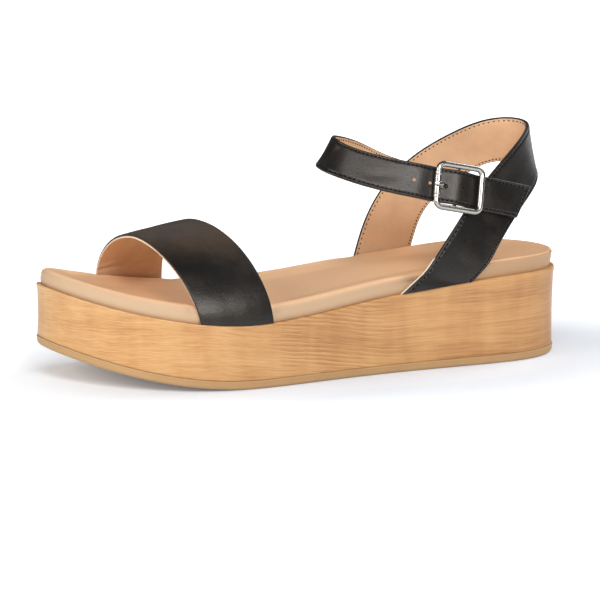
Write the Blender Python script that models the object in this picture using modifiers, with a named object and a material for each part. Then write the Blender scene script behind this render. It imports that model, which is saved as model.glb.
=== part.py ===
"""Flatform sandal, left shoe: a platform sole, a toe strap and a buckled heel sling.

The shoe is modelled in its maker's frame: heel end at x = 0, heel centre line at y = 0 and the
floor at z = 0, toe towards +X and the outer side of the foot towards +Y. A parent empty carries
that frame so that the middle of the footprint stands on the world's origin.
"""

import math
from collections import namedtuple

import bmesh
import bpy
import numpy as np
from mathutils import Matrix, Vector

MM = 0.001
FIT_GAP = 0.3 * MM
WELD = 0.01 * MM
SHARP_ANGLE = math.radians(35)
ROUND_SEGMENTS = 16
WIRE_RESOLUTION = 2

PARTS = "flatform_sandal"
CUTTERS = "flatform_sandal_cutters"

Finish = namedtuple("Finish", "colour roughness metallic")
TAN_RUBBER = Finish((0.53, 0.33, 0.14), 0.6, 0.0)
WOOD = Finish((0.72, 0.38, 0.15), 0.45, 0.0)
TAN_LEATHER = Finish((0.67, 0.41, 0.24), 0.55, 0.0)
BLACK_LEATHER = Finish((0.018, 0.015, 0.014), 0.45, 0.0)
SILVER_METAL = Finish((0.72, 0.70, 0.67), 0.18, 1.0)

# Sole: the edge on each side of the heel centre line, by share of the length from the heel
SOLE_LENGTH = 250 * MM
EdgeRow = namedtuple("EdgeRow", "share lateral_mm medial_mm")
SOLE_EDGE = (
    EdgeRow(0.00, 0.0, 0.0),
    EdgeRow(0.02, 16.0, -15.9),
    EdgeRow(0.06, 25.4, -25.1),
    EdgeRow(0.12, 31.0, -30.4),
    EdgeRow(0.25, 34.0, -32.0),
    EdgeRow(0.40, 36.5, -32.1),
    EdgeRow(0.55, 42.0, -34.8),
    EdgeRow(0.70, 46.6, -44.0),
    EdgeRow(0.80, 43.0, -45.0),
    EdgeRow(0.90, 30.0, -41.0),
    EdgeRow(0.97, 10.2, -30.6),
    EdgeRow(1.00, -11.8, -11.8),
)
SOLE_STEPS = 40

# Stack under the footbed, by share of the length: high at the heel, level under the ball
StackRow = namedtuple("StackRow", "share thickness_mm")
STACK = (
    StackRow(0.00, 40.9),
    StackRow(0.15, 40.6),
    StackRow(0.30, 37.7),
    StackRow(0.42, 34.9),
    StackRow(0.54, 31.1),
    StackRow(0.66, 28.8),
    StackRow(0.80, 28.6),
    StackRow(1.00, 27.6),
)
TOE_SPRING = 15 * MM
TOE_SPRING_FROM = 0.666
OUTSOLE_THICKNESS = 3.7 * MM

# Side walls from the bottom up: how far each level sits in from the edge, and its share of height
WallRow = namedtuple("WallRow", "inset_mm rise")
OUTSOLE_WALL = (
    WallRow(2.2, 0.0),
    WallRow(0.9, 0.12),
    WallRow(0.3, 0.42),
    WallRow(0.3, 1.0),
)
PLATFORM_WALL = (
    WallRow(0.5, 0.0),
    WallRow(0.8, 0.40),
    WallRow(0.6, 0.80),
    WallRow(0.2, 0.95),
    WallRow(0.2, 1.0),
)

# Footbed: a padded wall inside the strap feet, a rim that softens towards the toe, a dished top
INSOLE_INSET = 2.3 * MM
INSOLE_RISE = 7.5 * MM
RIM_AT_HEEL = 2.2 * MM
RIM_AT_TOE = 4.4 * MM
RIM_STEPS = 4
DISH_DEPTH = 0.4 * MM
DISH_WIDTH = 11 * MM
DISH_STEPS = 3

# Toe strap: its front and back edges arch from the lateral to the medial foot
TOE_WALL = 1.7 * MM
TOE_FOOT_GAP = 0.45 * MM
TOE_CROWN = 1.1 * MM
ToeEdge = namedtuple("ToeEdge", "lateral_x_mm medial_x_mm bow_mm rise_mm skew fullness")
TOE_FRONT = ToeEdge(195.1, 211.7, 4.6, 31.9, 0.07, 1.83)
TOE_BACK = ToeEdge(160.8, 179.3, 4.5, 39.2, 0.14, 2.14)
TOE_STEPS = 40
TOE_COLUMNS = 5

# Straps of the heel sling: a row for each section, the way its face turns in plan and leans up,
# and how far its upper edge runs on past its lower edge
StrapRow = namedtuple("StrapRow", "x_mm y_mm z_mm face_deg lean_deg width_mm slant_mm")
STRAP_WALL = 1.8 * MM
STRAP_COLUMNS = 4
PATH_STEP = 0.1 * MM
BED_MARGIN = 15 * MM
HEEL_STRAP = (
    StrapRow(88.6, 35.1, 29.0, 94, 0, 16.5, -25),
    StrapRow(75.0, 34.1, 38.0, 94, 3, 17.8, -25),
    StrapRow(69.2, 33.5, 42.2, 94, 6, 20.0, -19),
    StrapRow(63.0, 32.8, 48.4, 94, 9, 23.2, -12),
    StrapRow(52.2, 29.8, 61.3, 96, 13, 23.4, -3),
    StrapRow(40.9, 25.2, 73.4, 102, 13, 23.4, 0),
    StrapRow(28.7, 19.4, 83.5, 113, 12, 23.4, 0),
    StrapRow(17.0, 11.0, 91.8, 134, 12, 23.4, 0),
    StrapRow(11.4, -2.0, 97.1, 186, 16, 23.4, 0),
    StrapRow(22.0, -14.0, 97.8, 240, 23, 23.0, 0),
    StrapRow(37.5, -21.0, 91.3, 258, 19, 23.0, 0),
    StrapRow(51.8, -25.3, 81.6, 263, 11, 23.6, 0),
    StrapRow(62.9, -28.3, 69.5, 265, 5, 24.4, 0),
    StrapRow(69.7, -30.5, 53.8, 269, 2, 27.1, 0),
    StrapRow(74.2, -31.2, 37.7, 270, 0, 27.5, 6),
    StrapRow(77.3, -31.2, 27.4, 270, 0, 27.5, 6),
)
HEEL_STATIONS = 60
ANKLE_STRAP = (
    StrapRow(49.0, -26.4, 75.5, -94, 6, 16, 0),
    StrapRow(56.0, -27.9, 77.4, -92, 5, 16, 0),
    StrapRow(67.0, -28.9, 80.8, -86, 3, 16, 0),
    StrapRow(79.7, -26.4, 85.6, -77, 8, 16, 0),
    StrapRow(91.7, -21.2, 90.9, -69, 17, 16, 0),
    StrapRow(103.4, -14.4, 95.0, -60, 25, 16, 0),
    StrapRow(113.6, -6.0, 97.2, -38, 29, 16, 0),
    StrapRow(115.0, 5.5, 95.8, 38, 31, 16, 0),
    StrapRow(105.8, 14.8, 91.9, 66, 29, 16, 0),
    StrapRow(93.4, 20.8, 88.5, 75, 23, 16, 0),
    StrapRow(80.5, 25.0, 85.7, 80, 18, 16, 0),
    StrapRow(66.8, 27.8, 82.8, 86, 16, 16, 0),
    StrapRow(53.5, 29.0, 79.8, 92, 15, 16, 0),
    StrapRow(40.5, 28.4, 76.8, 99, 14, 16, 0),
    StrapRow(29.4, 26.3, 74.1, 103, 12, 16, 4),
)
ANKLE_STATIONS = 84

# Buckle on the lateral side, in its own frame: x to the heel, y up the strap, z out of its face
BUCKLE_FROM_TAIL = 34.6 * MM
BUCKLE_TURN = math.radians(2)
FRAME_HALF_LENGTH = 10.8 * MM
FRAME_HALF_WIDTH = 10.0 * MM
FRAME_CORNER = 4.0 * MM
FRAME_CORNER_STEPS = 5
FRAME_WIRE = 1.4 * MM
FRAME_LIFT = 2.0 * MM
BARREL_RADIUS = 1.55 * MM
BARREL_LENGTH = 12 * MM
BAR_WIRE = 0.9 * MM
BAR_DEPTH = 2.25 * MM
BAR_BEND = 1.2 * MM
LEG_AT = 9.3 * MM
LEG_DROP = 1.6 * MM
STRAP_SINK = 0.75 * MM
STRAP_BULGE = 1.4 * MM
STRAP_RECOVERY = 9 * MM
PRONG_WIRE = 0.65 * MM
PRONG_EYE = 1.8 * MM
PRONG_EYE_FROM = math.radians(60)
PRONG_EYE_TO = math.radians(305)
PRONG_EYE_STEPS = 13
PRONG_SHANK_STEPS = 14
ProngRow = namedtuple("ProngRow", "front_mm out_mm")
PRONG_SHANK = (
    ProngRow(4.6, -2.4),
    ProngRow(6.8, 0.3),
    ProngRow(8.4, 3.1),
    ProngRow(10.2, 4.6),
    ProngRow(12.9, 4.4),
)
HOLE_RADIUS = 1.0 * MM
HOLE_PITCH = 8.0 * MM
HOLE_DEPTH = 3.6 * MM
PRONG_HOLE_AT = 6.6 * MM
PRONG_HOLE_LENGTH = 3.8 * MM
PRONG_HOLE_WIDTH = 2.2 * MM
PRONG_HOLE_DEPTH = 7.2 * MM
OPEN_HOLES = (-1, 1, 2)

# Buckle tab: from the eye round the centre bar back onto the heel strap, under the strap's tail
TAB_WALL = 2.0 * MM
TAB_WIDTH = 14 * MM
TAB_EYE = 2.15 * MM
TAB_BORE = 1.15 * MM
TAB_SLOT_WIDTH = 3.2 * MM
TAB_SLOT_BACK = 3.4 * MM
TAB_SLOT_DEPTH = 8.6 * MM
TabRow = namedtuple("TabRow", "run_mm depth_mm")
TAB_DEPTH = (
    TabRow(0.0, 2.4),
    TabRow(5.0, 2.8),
    TabRow(10.0, 3.05),
    TabRow(15.0, 2.6),
    TabRow(20.0, 2.3),
    TabRow(31.0, 2.3),
)
TAB_STATIONS = 20


def column(rows, name):
    """One named column of a table as an array."""
    return np.array([getattr(row, name) for row in rows], float)


def spline(knots, values, at):
    """Natural cubic curve through the knots, read at the given places."""
    at = np.asarray(at, float)
    gaps = np.diff(knots)
    slopes = np.diff(values) / gaps
    last = len(knots) - 1
    matrix = np.eye(last + 1)
    right = np.zeros(last + 1)
    for i in range(1, last):
        matrix[i, i - 1:i + 2] = gaps[i - 1], 2 * (gaps[i - 1] + gaps[i]), gaps[i]
        right[i] = 6 * (slopes[i] - slopes[i - 1])
    bend = np.linalg.solve(matrix, right)
    i = np.clip(np.searchsorted(knots, at) - 1, 0, last - 1)
    after = (at - knots[i]) / gaps[i]
    before = 1 - after
    straight = before * values[i] + after * values[i + 1]
    curved = (before ** 3 - before) * bend[i] + (after ** 3 - after) * bend[i + 1]
    return straight + curved * gaps[i] ** 2 / 6


def unit(vectors):
    """The same rows at length one."""
    return vectors / np.linalg.norm(vectors, axis=-1, keepdims=True)


def edge_turn(share):
    """Angle round the footprint: the shares crowd together at the round heel and toe."""
    return np.arccos(1 - 2 * np.clip(share, 0, 1))


def edge_y(x, side):
    """The sole's edge beside a point of its length, on the lateral or the medial side."""
    knots = edge_turn(column(SOLE_EDGE, "share"))
    return spline(knots, column(SOLE_EDGE, side + "_mm"), edge_turn(x / SOLE_LENGTH)) * MM


def sole_edge():
    """Plan points of the sole: heel end, lateral side to the toe end, then the medial side back."""
    x = SOLE_LENGTH / 2 * (1 - np.cos(np.linspace(0, math.pi, SOLE_STEPS + 1)))
    lateral = np.column_stack((x, edge_y(x, "lateral")))
    medial = np.column_stack((x, edge_y(x, "medial")))
    return np.vstack((lateral, medial[-2:0:-1]))


def inset_edge(margin):
    """The sole's plan points moved in from the edge by a margin, one for all or one for each."""
    points = sole_edge()
    along = unit(np.roll(points, -1, axis=0) - np.roll(points, 1, axis=0))
    inward = np.column_stack((along[:, 1], -along[:, 0]))
    return points + inward * np.reshape(margin, (-1, 1))


def tread_height(x):
    """Underside of the shoe: flat on the floor, then the toe spring."""
    past = np.clip((x / SOLE_LENGTH - TOE_SPRING_FROM) / (1 - TOE_SPRING_FROM), 0, None)
    return TOE_SPRING * past ** 2


def platform_top(x):
    """Top face of the platform above the floor."""
    thickness = spline(column(STACK, "share"), column(STACK, "thickness_mm"), x / SOLE_LENGTH)
    return tread_height(x) + thickness * MM


def collection(name):
    """A collection of the scene."""
    found = bpy.data.collections.new(name)
    bpy.context.scene.collection.children.link(found)
    return found


def material(name, finish):
    """A plain material of one piece."""
    made = bpy.data.materials.new(name)
    made.use_nodes = True
    shader = made.node_tree.nodes["Principled BSDF"]
    shader.inputs["Base Color"].default_value = (*finish.colour, 1)
    shader.inputs["Roughness"].default_value = finish.roughness
    shader.inputs["Metallic"].default_value = finish.metallic
    made.diffuse_color = (*finish.colour, 1)
    return made


def place(mesh, group):
    """An object of the shoe's frame, named as its mesh, smooth with sharp corners kept."""
    mesh.shade_smooth()
    mesh.set_sharp_from_angle(angle=SHARP_ANGLE)
    piece = bpy.data.objects.new(mesh.name, mesh)
    bpy.data.collections[group].objects.link(piece)
    piece.parent = bpy.data.objects[PARTS]
    return piece


def part(mesh, finish):
    """A piece of the shoe with its own material."""
    mesh.materials.append(material(mesh.name + "_finish", finish))
    return place(mesh, PARTS)


def helper(mesh):
    """A solid that is joined to a piece or cut from it, and doesn't show itself."""
    piece = place(mesh, CUTTERS)
    piece.hide_render = True
    piece.display_type = "WIRE"
    return piece


def mesh_of(bm, name):
    """A mesh from a finished edit mesh, faces turned out."""
    bmesh.ops.recalc_face_normals(bm, faces=bm.faces)
    mesh = bpy.data.meshes.new(name)
    bm.to_mesh(mesh)
    bm.free()
    return mesh


def sole_layer(name, rings):
    """Closed solid of stacked rings that follow the footprint, capped from side to side."""
    bm = bmesh.new()
    loops = [[bm.verts.new(point) for point in ring] for ring in rings]
    count = 2 * SOLE_STEPS
    for lower, upper in zip(loops, loops[1:]):
        for i in range(count):
            after = (i + 1) % count
            bm.faces.new((lower[i], upper[i], upper[after], lower[after]))
    for loop in (loops[0], loops[-1]):
        bm.faces.new((loop[0], loop[1], loop[-1]))
        for i in range(1, SOLE_STEPS - 1):
            bm.faces.new((loop[i], loop[i + 1], loop[count - i - 1], loop[count - i]))
        bm.faces.new((loop[SOLE_STEPS - 1], loop[SOLE_STEPS], loop[SOLE_STEPS + 1]))
    return mesh_of(bm, name)


def walled_layer(name, wall, bottom, top):
    """A layer of the sole between two heights, with the levels of its side wall."""
    rings = []
    for level in wall:
        plan = inset_edge(level.inset_mm * MM)
        x = plan[:, 0]
        height = bottom(x) + level.rise * (top(x) - bottom(x))
        rings.append(np.column_stack((plan, height)))
    return sole_layer(name, rings)


def outsole_top(x):
    """Top face of the outsole above the floor."""
    return tread_height(x) + OUTSOLE_THICKNESS


def platform_bottom(x):
    """Underside of the platform, just clear of the outsole."""
    return outsole_top(x) + FIT_GAP


def insole_mesh():
    """The footbed: a straight wall, a rounded rim and a shallow dish inside it."""
    softness = sole_edge()[:, 0] / SOLE_LENGTH
    rim = RIM_AT_HEEL + (RIM_AT_TOE - RIM_AT_HEEL) * softness
    levels = [(np.full_like(rim, INSOLE_INSET), np.zeros_like(rim))]
    for angle in np.linspace(0, math.pi / 2, RIM_STEPS + 1):
        inset = INSOLE_INSET + rim * (1 - math.cos(angle))
        levels.append((inset, INSOLE_RISE - rim * (1 - math.sin(angle))))
    for share in np.linspace(0, 1, DISH_STEPS + 1)[1:]:
        inset = INSOLE_INSET + rim + DISH_WIDTH * share
        drop = DISH_DEPTH * (1 - math.cos(math.pi * share)) / 2
        levels.append((inset, np.full_like(rim, INSOLE_RISE - drop)))
    rings = []
    for inset, rise in levels:
        plan = inset_edge(inset)
        rings.append(np.column_stack((plan, platform_top(plan[:, 0]) + FIT_GAP + rise)))
    return sole_layer("insole", rings)


def grid_mesh(name, rows):
    """An open sheet through rows of points."""
    bm = bmesh.new()
    verts = [[bm.verts.new(point) for point in row] for row in rows]
    for row, after in zip(verts, verts[1:]):
        for i in range(len(row) - 1):
            bm.faces.new((row[i], after[i], after[i + 1], row[i + 1]))
    mesh = bpy.data.meshes.new(name)
    bm.to_mesh(mesh)
    bm.free()
    return mesh


def thicken(piece, wall, offset):
    """Give a sheet its wall."""
    solidify = piece.modifiers.new("wall", "SOLIDIFY")
    solidify.thickness = wall
    solidify.offset = offset
    solidify.use_even_offset = True
    return piece


def toe_strap_mesh():
    """Outer face of the toe strap: arches from foot to foot, from its back to its front edge."""
    rows = []
    for angle in np.linspace(0, math.pi, TOE_STEPS + 1):
        across = math.cos(angle)
        over = math.sin(angle) if 0 < angle < math.pi else 0.0
        row = []
        for share in np.linspace(1, 0, TOE_COLUMNS):
            edge = ToeEdge(*(np.array(TOE_FRONT) * (1 - share) + np.array(TOE_BACK) * share))
            lateral_x = edge.lateral_x_mm * MM
            medial_x = edge.medial_x_mm * MM
            lateral_y = float(edge_y(lateral_x, "lateral"))
            medial_y = float(edge_y(medial_x, "medial"))
            power = 2 / edge.fullness
            reach = math.copysign(abs(across) ** power, across)
            y = (lateral_y + medial_y) / 2 + (lateral_y - medial_y) / 2 * reach
            to_medial = (lateral_y - y) / (lateral_y - medial_y)
            x = lateral_x + (medial_x - lateral_x) * to_medial + edge.bow_mm * MM * over
            turned = angle / math.pi
            foot = platform_top(lateral_x) * (1 - turned) + platform_top(medial_x) * turned
            arch = edge.rise_mm * MM * over ** power * (1 - edge.skew * across)
            crown = TOE_CROWN * 4 * share * (1 - share) * over
            row.append((x, y, float(foot) + TOE_FOOT_GAP + arch + crown))
        rows.append(row)
    return grid_mesh("toe_strap", rows)


StrapPath = namedtuple("StrapPath", "run place along across out width slant")


def strap_points(rows):
    """Middle points of a strap's rows."""
    return np.column_stack([column(rows, name) * MM for name in ("x_mm", "y_mm", "z_mm")])


def distances(points):
    """Distance from the first of the points to each of them, along their chain."""
    return np.concatenate(([0], np.cumsum(np.linalg.norm(np.diff(points, axis=0), axis=1))))


def strap_length(rows):
    """Length of a strap along its rows."""
    return distances(strap_points(rows))[-1]


def strap_path(rows, places):
    """Sections of a strap at distances along it: place, run, width and outward directions."""
    points = strap_points(rows)
    knots = distances(points)

    def through(at):
        return np.column_stack([spline(knots, points[:, k], at) for k in range(3)])

    face = np.radians(spline(knots, column(rows, "face_deg"), places))
    lean = np.radians(spline(knots, column(rows, "lean_deg"), places))
    along = unit(through(places + PATH_STEP) - through(places - PATH_STEP))
    facing = np.column_stack((np.cos(face) * np.cos(lean), np.sin(face) * np.cos(lean), np.sin(lean)))
    across = unit(np.cross(facing, along))
    out = np.cross(along, across)
    width = spline(knots, column(rows, "width_mm"), places) * MM
    slant = spline(knots, column(rows, "slant_mm"), places) * MM
    return StrapPath(places, through(places), along, across, out, width, slant)


def strap_rows(path):
    """Rows of points across a strap, from its lower to its upper edge."""
    rows = []
    for share in np.linspace(-0.5, 0.5, STRAP_COLUMNS + 1):
        over = path.across * path.width[:, None] + path.along * path.slant[:, None]
        rows.append(path.place + over * share)
    return np.swapaxes(rows, 0, 1)


def smooth_step(share):
    """Ease from 0 to 1."""
    share = np.clip(share, 0, 1)
    return share * share * (3 - 2 * share)


def buckle_at():
    """Distance along the ankle strap to the middle of the buckle."""
    return strap_length(ANKLE_STRAP) - BUCKLE_FROM_TAIL


def buckle_matrix():
    """Frame of the buckle on the strap's even run, turned a little in its own plane."""
    path = strap_path(ANKLE_STRAP, np.array([buckle_at()]))
    axes = np.column_stack((path.along[0], path.across[0], path.out[0]))
    matrix = Matrix(axes.tolist()).to_4x4()
    matrix.translation = Vector(path.place[0])
    return matrix @ Matrix.Rotation(BUCKLE_TURN, 4, "Z")


def weave(run):
    """How the strap leaves its even run: under the outer bars and over the centre bar."""
    reach = np.abs(run - buckle_at())
    between = np.cos(np.clip(reach / FRAME_HALF_LENGTH, 0, 1) * math.pi / 2) ** 2
    recovered = smooth_step((reach - FRAME_HALF_LENGTH) / STRAP_RECOVERY)
    return between * (STRAP_BULGE + STRAP_SINK) - STRAP_SINK * (1 - recovered)


def ankle_strap_mesh():
    """Middle sheet of the ankle strap, from the medial joint to its tail past the buckle."""
    length = strap_length(ANKLE_STRAP)
    path = strap_path(ANKLE_STRAP, np.linspace(0, length, ANKLE_STATIONS + 1))
    woven = path._replace(place=path.place + path.out * weave(path.run)[:, None])
    return grid_mesh("ankle_strap", strap_rows(woven))


def heel_strap_mesh():
    """Middle sheet of the heel strap, from the lateral foot round the heel to the medial foot."""
    places = np.linspace(0, strap_length(HEEL_STRAP), HEEL_STATIONS + 1)
    return grid_mesh("heel_sling", strap_rows(strap_path(HEEL_STRAP, places)))


def tab_mesh():
    """Middle sheet of the buckle tab, under the tail, from the centre bar to the heel strap."""
    runs = np.linspace(0, TAB_DEPTH[-1].run_mm, TAB_STATIONS + 1)
    depth = spline(column(TAB_DEPTH, "run_mm"), column(TAB_DEPTH, "depth_mm"), runs) * MM
    path = strap_path(ANKLE_STRAP, buckle_at() + runs * MM)
    lowered = path.place - path.out * depth[:, None]
    narrow = path._replace(place=lowered, width=np.full(len(runs), TAB_WIDTH))
    return grid_mesh("buckle_tab", strap_rows(narrow))


def cylinder_mesh(name, radius, length, turn):
    """A capped cylinder on the origin, its axis turned from z."""
    bm = bmesh.new()
    bmesh.ops.create_cone(
        bm, cap_ends=True, segments=ROUND_SEGMENTS,
        radius1=radius, radius2=radius, depth=length, matrix=turn)
    return mesh_of(bm, name)


def box_mesh(name, size):
    """A box on the origin."""
    bm = bmesh.new()
    bmesh.ops.create_cube(bm, size=1, matrix=Matrix.Diagonal((*size, 1)))
    return mesh_of(bm, name)


def wire_mesh(name, points, radius, closed=False):
    """A round wire through points, as one closed mesh."""
    curve = bpy.data.curves.new(name, "CURVE")
    curve.dimensions = "3D"
    curve.bevel_depth = radius
    curve.bevel_resolution = WIRE_RESOLUTION
    curve.use_fill_caps = not closed
    run = curve.splines.new("POLY")
    run.points.add(len(points) - 1)
    run.use_cyclic_u = closed
    for point, place_at in zip(run.points, points):
        point.co = (*place_at, 1)
    holder = bpy.data.objects.new(name, curve)
    bpy.context.scene.collection.objects.link(holder)
    depsgraph = bpy.context.evaluated_depsgraph_get()
    mesh = bpy.data.meshes.new_from_object(holder.evaluated_get(depsgraph))
    bpy.data.objects.remove(holder)
    bpy.data.curves.remove(curve)
    bm = bmesh.new()
    bm.from_mesh(mesh)
    bpy.data.meshes.remove(mesh)
    bmesh.ops.remove_doubles(bm, verts=bm.verts, dist=WELD)
    return mesh_of(bm, name)


def combine(piece, other, operation):
    """Join a helper solid to a piece or cut it away."""
    boolean = piece.modifiers.new(other.name, "BOOLEAN")
    boolean.operation = operation
    boolean.object = other
    boolean.solver = "EXACT"


def frame_points():
    """Middle line of the buckle's rounded square, at the height of its outer bars."""
    straight_x = FRAME_HALF_LENGTH - FRAME_CORNER
    straight_y = FRAME_HALF_WIDTH - FRAME_CORNER
    points = []
    for quarter in range(4):
        start = quarter * math.pi / 2
        centre_x = straight_x * math.copysign(1, math.cos(start + math.pi / 4))
        centre_y = straight_y * math.copysign(1, math.sin(start + math.pi / 4))
        for angle in np.linspace(start, start + math.pi / 2, FRAME_CORNER_STEPS + 1):
            x = centre_x + FRAME_CORNER * math.cos(angle)
            y = centre_y + FRAME_CORNER * math.sin(angle)
            points.append((x, y, FRAME_LIFT))
    return points


def bar_points():
    """Middle line of the centre bar: a leg down from each side of the frame, then straight across."""
    halfway = BAR_BEND * (1 - math.cos(math.pi / 4))
    leg = (
        (0, FRAME_HALF_WIDTH, FRAME_LIFT),
        (0, LEG_AT, FRAME_LIFT - LEG_DROP),
        (0, LEG_AT, BAR_BEND - BAR_DEPTH),
        (0, LEG_AT - halfway, halfway - BAR_DEPTH),
        (0, LEG_AT - BAR_BEND, -BAR_DEPTH),
    )
    return [*leg, *((x, -y, z) for x, y, z in reversed(leg))]


def prong_points():
    """Middle line of the prong: an eye round the centre bar, then up through the strap."""
    eye = []
    for angle in np.linspace(PRONG_EYE_FROM, PRONG_EYE_TO, PRONG_EYE_STEPS + 1):
        eye.append((PRONG_EYE * math.cos(angle), PRONG_EYE * math.sin(angle) - BAR_DEPTH))
    shank = [(row.front_mm * MM, row.out_mm * MM) for row in PRONG_SHANK]
    knots = np.array([eye[-2], eye[-1], *shank])
    places = distances(knots)
    at = np.linspace(places[1], places[-1], PRONG_SHANK_STEPS + 1)[1:]
    smooth = np.column_stack([spline(places, knots[:, k], at) for k in range(2)])
    return [(-front, 0, out) for front, out in [*eye, *smooth]]


def on_buckle(piece, offset=(0, 0, 0)):
    """Place a piece in the buckle's frame."""
    piece.matrix_local = buckle_matrix() @ Matrix.Translation(offset)
    return piece


def build_sole():
    """Outsole, platform and footbed."""
    part(walled_layer("outsole", OUTSOLE_WALL, tread_height, outsole_top), TAN_RUBBER)
    part(walled_layer("platform", PLATFORM_WALL, platform_bottom, platform_top), WOOD)
    part(insole_mesh(), TAN_LEATHER)


def bed_cutter():
    """Everything below the top of the platform, with the gap that the strap feet keep to it."""
    plan = inset_edge(-BED_MARGIN)
    floor = np.column_stack((plan, np.full(len(plan), -BED_MARGIN)))
    top = np.column_stack((plan, platform_top(plan[:, 0]) + FIT_GAP))
    return helper(sole_layer("bed_cutter", (floor, top)))


def along_bar():
    """Turn of a cylinder that lies along the buckle's bars."""
    return Matrix.Rotation(math.pi / 2, 4, "X")


def join_tab(sling):
    """The buckle tab on the heel strap, with its eye round the centre bar and the prong's slot."""
    combine(sling, thicken(helper(tab_mesh()), TAB_WALL, 0), "UNION")
    bar_at = (0, 0, -BAR_DEPTH)
    eye = helper(cylinder_mesh("tab_eye", TAB_EYE, TAB_WIDTH, along_bar()))
    combine(sling, on_buckle(eye, bar_at), "UNION")
    bore = helper(cylinder_mesh("tab_bore", TAB_BORE, 2 * TAB_WIDTH, along_bar()))
    combine(sling, on_buckle(bore, bar_at), "DIFFERENCE")
    slot_length = TAB_SLOT_BACK + 2 * TAB_EYE
    slot = helper(box_mesh("tab_slot", (slot_length, TAB_SLOT_WIDTH, TAB_SLOT_DEPTH)))
    combine(sling, on_buckle(slot, (TAB_SLOT_BACK - slot_length / 2, 0, -BAR_DEPTH)), "DIFFERENCE")


def punch_holes(sling):
    """The slot that the prong stands in, and the open holes on either side of it."""
    used = helper(box_mesh("prong_hole", (PRONG_HOLE_LENGTH, PRONG_HOLE_WIDTH, PRONG_HOLE_DEPTH)))
    combine(sling, on_buckle(used, (-PRONG_HOLE_AT, 0, 0)), "DIFFERENCE")
    for number in OPEN_HOLES:
        at = buckle_at() - PRONG_HOLE_AT - number * HOLE_PITCH
        path = strap_path(ANKLE_STRAP, np.array([at]))
        axes = np.column_stack((path.along[0], path.across[0], path.out[0]))
        hole = helper(cylinder_mesh(f"open_hole_{number}", HOLE_RADIUS, HOLE_DEPTH, Matrix.Identity(4)))
        hole.matrix_local = Matrix(axes.tolist()).to_4x4()
        hole.location = path.place[0] + path.out[0] * weave(at)
        combine(sling, hole, "DIFFERENCE")


def build_straps():
    """Toe strap, and the heel sling with its straps and tab joined where they cross."""
    thicken(part(toe_strap_mesh(), BLACK_LEATHER), TOE_WALL, -1)
    sling = thicken(part(heel_strap_mesh(), BLACK_LEATHER), STRAP_WALL, 0)
    combine(sling, bed_cutter(), "DIFFERENCE")
    join_tab(sling)
    combine(sling, thicken(helper(ankle_strap_mesh()), STRAP_WALL, 0), "UNION")
    punch_holes(sling)


def build_buckle():
    """Buckle frame with its barrel and centre bar, and the prong."""
    frame = on_buckle(part(wire_mesh("buckle_frame", frame_points(), FRAME_WIRE, True), SILVER_METAL))
    bar = on_buckle(helper(wire_mesh("centre_bar", bar_points(), BAR_WIRE)))
    combine(frame, bar, "UNION")
    barrel = helper(cylinder_mesh("barrel", BARREL_RADIUS, BARREL_LENGTH, along_bar()))
    combine(frame, on_buckle(barrel, (-FRAME_HALF_LENGTH, 0, FRAME_LIFT)), "UNION")
    on_buckle(part(wire_mesh("buckle_prong", prong_points(), PRONG_WIRE), SILVER_METAL))


def main():
    """Clear the scene and build the shoe on its footprint's middle."""
    for old in list(bpy.data.objects):
        bpy.data.objects.remove(old)
    collection(PARTS)
    collection(CUTTERS)
    shoe = bpy.data.objects.new(PARTS, None)
    bpy.data.collections[PARTS].objects.link(shoe)
    edge = sole_edge()
    middle = (edge.min(axis=0) + edge.max(axis=0)) / 2
    shoe.location = (-middle[0], -middle[1], 0)
    build_sole()
    build_straps()
    build_buckle()


main()
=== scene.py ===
"""Looks of a left flatform sandal: a wood platform, a padded footbed and black straps with a buckle.

Shapes are worked out in the maker's frame, with the heel end at x = 0, the heel centre line at
y = 0 and the floor at z = 0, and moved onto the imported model's origin when a mesh is made.
"""

import math
from collections import namedtuple

import bpy
import numpy as np
from bpy.props import FloatProperty, FloatVectorProperty, IntProperty, PointerProperty
from bpy.types import Operator, Panel, PropertyGroup
from mathutils import Matrix, Vector


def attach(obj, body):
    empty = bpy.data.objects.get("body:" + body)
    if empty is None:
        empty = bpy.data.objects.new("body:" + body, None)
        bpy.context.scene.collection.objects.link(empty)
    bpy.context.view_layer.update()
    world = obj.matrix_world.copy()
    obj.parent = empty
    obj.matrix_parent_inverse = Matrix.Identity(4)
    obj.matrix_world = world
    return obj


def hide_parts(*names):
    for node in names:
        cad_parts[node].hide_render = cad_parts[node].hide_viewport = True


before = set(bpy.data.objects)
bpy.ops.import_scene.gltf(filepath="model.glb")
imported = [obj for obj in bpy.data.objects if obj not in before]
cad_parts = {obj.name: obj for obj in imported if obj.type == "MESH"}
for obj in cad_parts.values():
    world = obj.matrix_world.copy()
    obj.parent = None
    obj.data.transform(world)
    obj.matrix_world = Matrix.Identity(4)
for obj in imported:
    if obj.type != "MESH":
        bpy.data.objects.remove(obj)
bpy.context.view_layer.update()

bl_info = {
    "name": "Flatform sandal",
    "version": (1, 0, 0),
    "blender": (4, 5, 0),
    "location": "3D View > Sidebar > Sandal",
    "description": "Builds the looks of a left flatform sandal round its packed solids",
    "category": "Object",
}

MM = 0.001


def table(columns, *rows):
    """Rows of values with named columns."""
    row = namedtuple("Row", columns)
    return tuple(row(*values) for values in rows)


# Sole: the edge on each side of the heel centre line, by share of the length from the heel
SOLE_EDGE = table(
    "share lateral_mm medial_mm",
    (0.00, 0.0, 0.0),
    (0.02, 16.0, -15.9),
    (0.06, 25.4, -25.1),
    (0.12, 31.0, -30.4),
    (0.25, 34.0, -32.0),
    (0.40, 36.5, -32.1),
    (0.55, 42.0, -34.8),
    (0.70, 46.6, -44.0),
    (0.80, 43.0, -45.0),
    (0.90, 30.0, -41.0),
    (0.97, 10.2, -30.6),
    (1.00, -11.8, -11.8),
)

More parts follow.
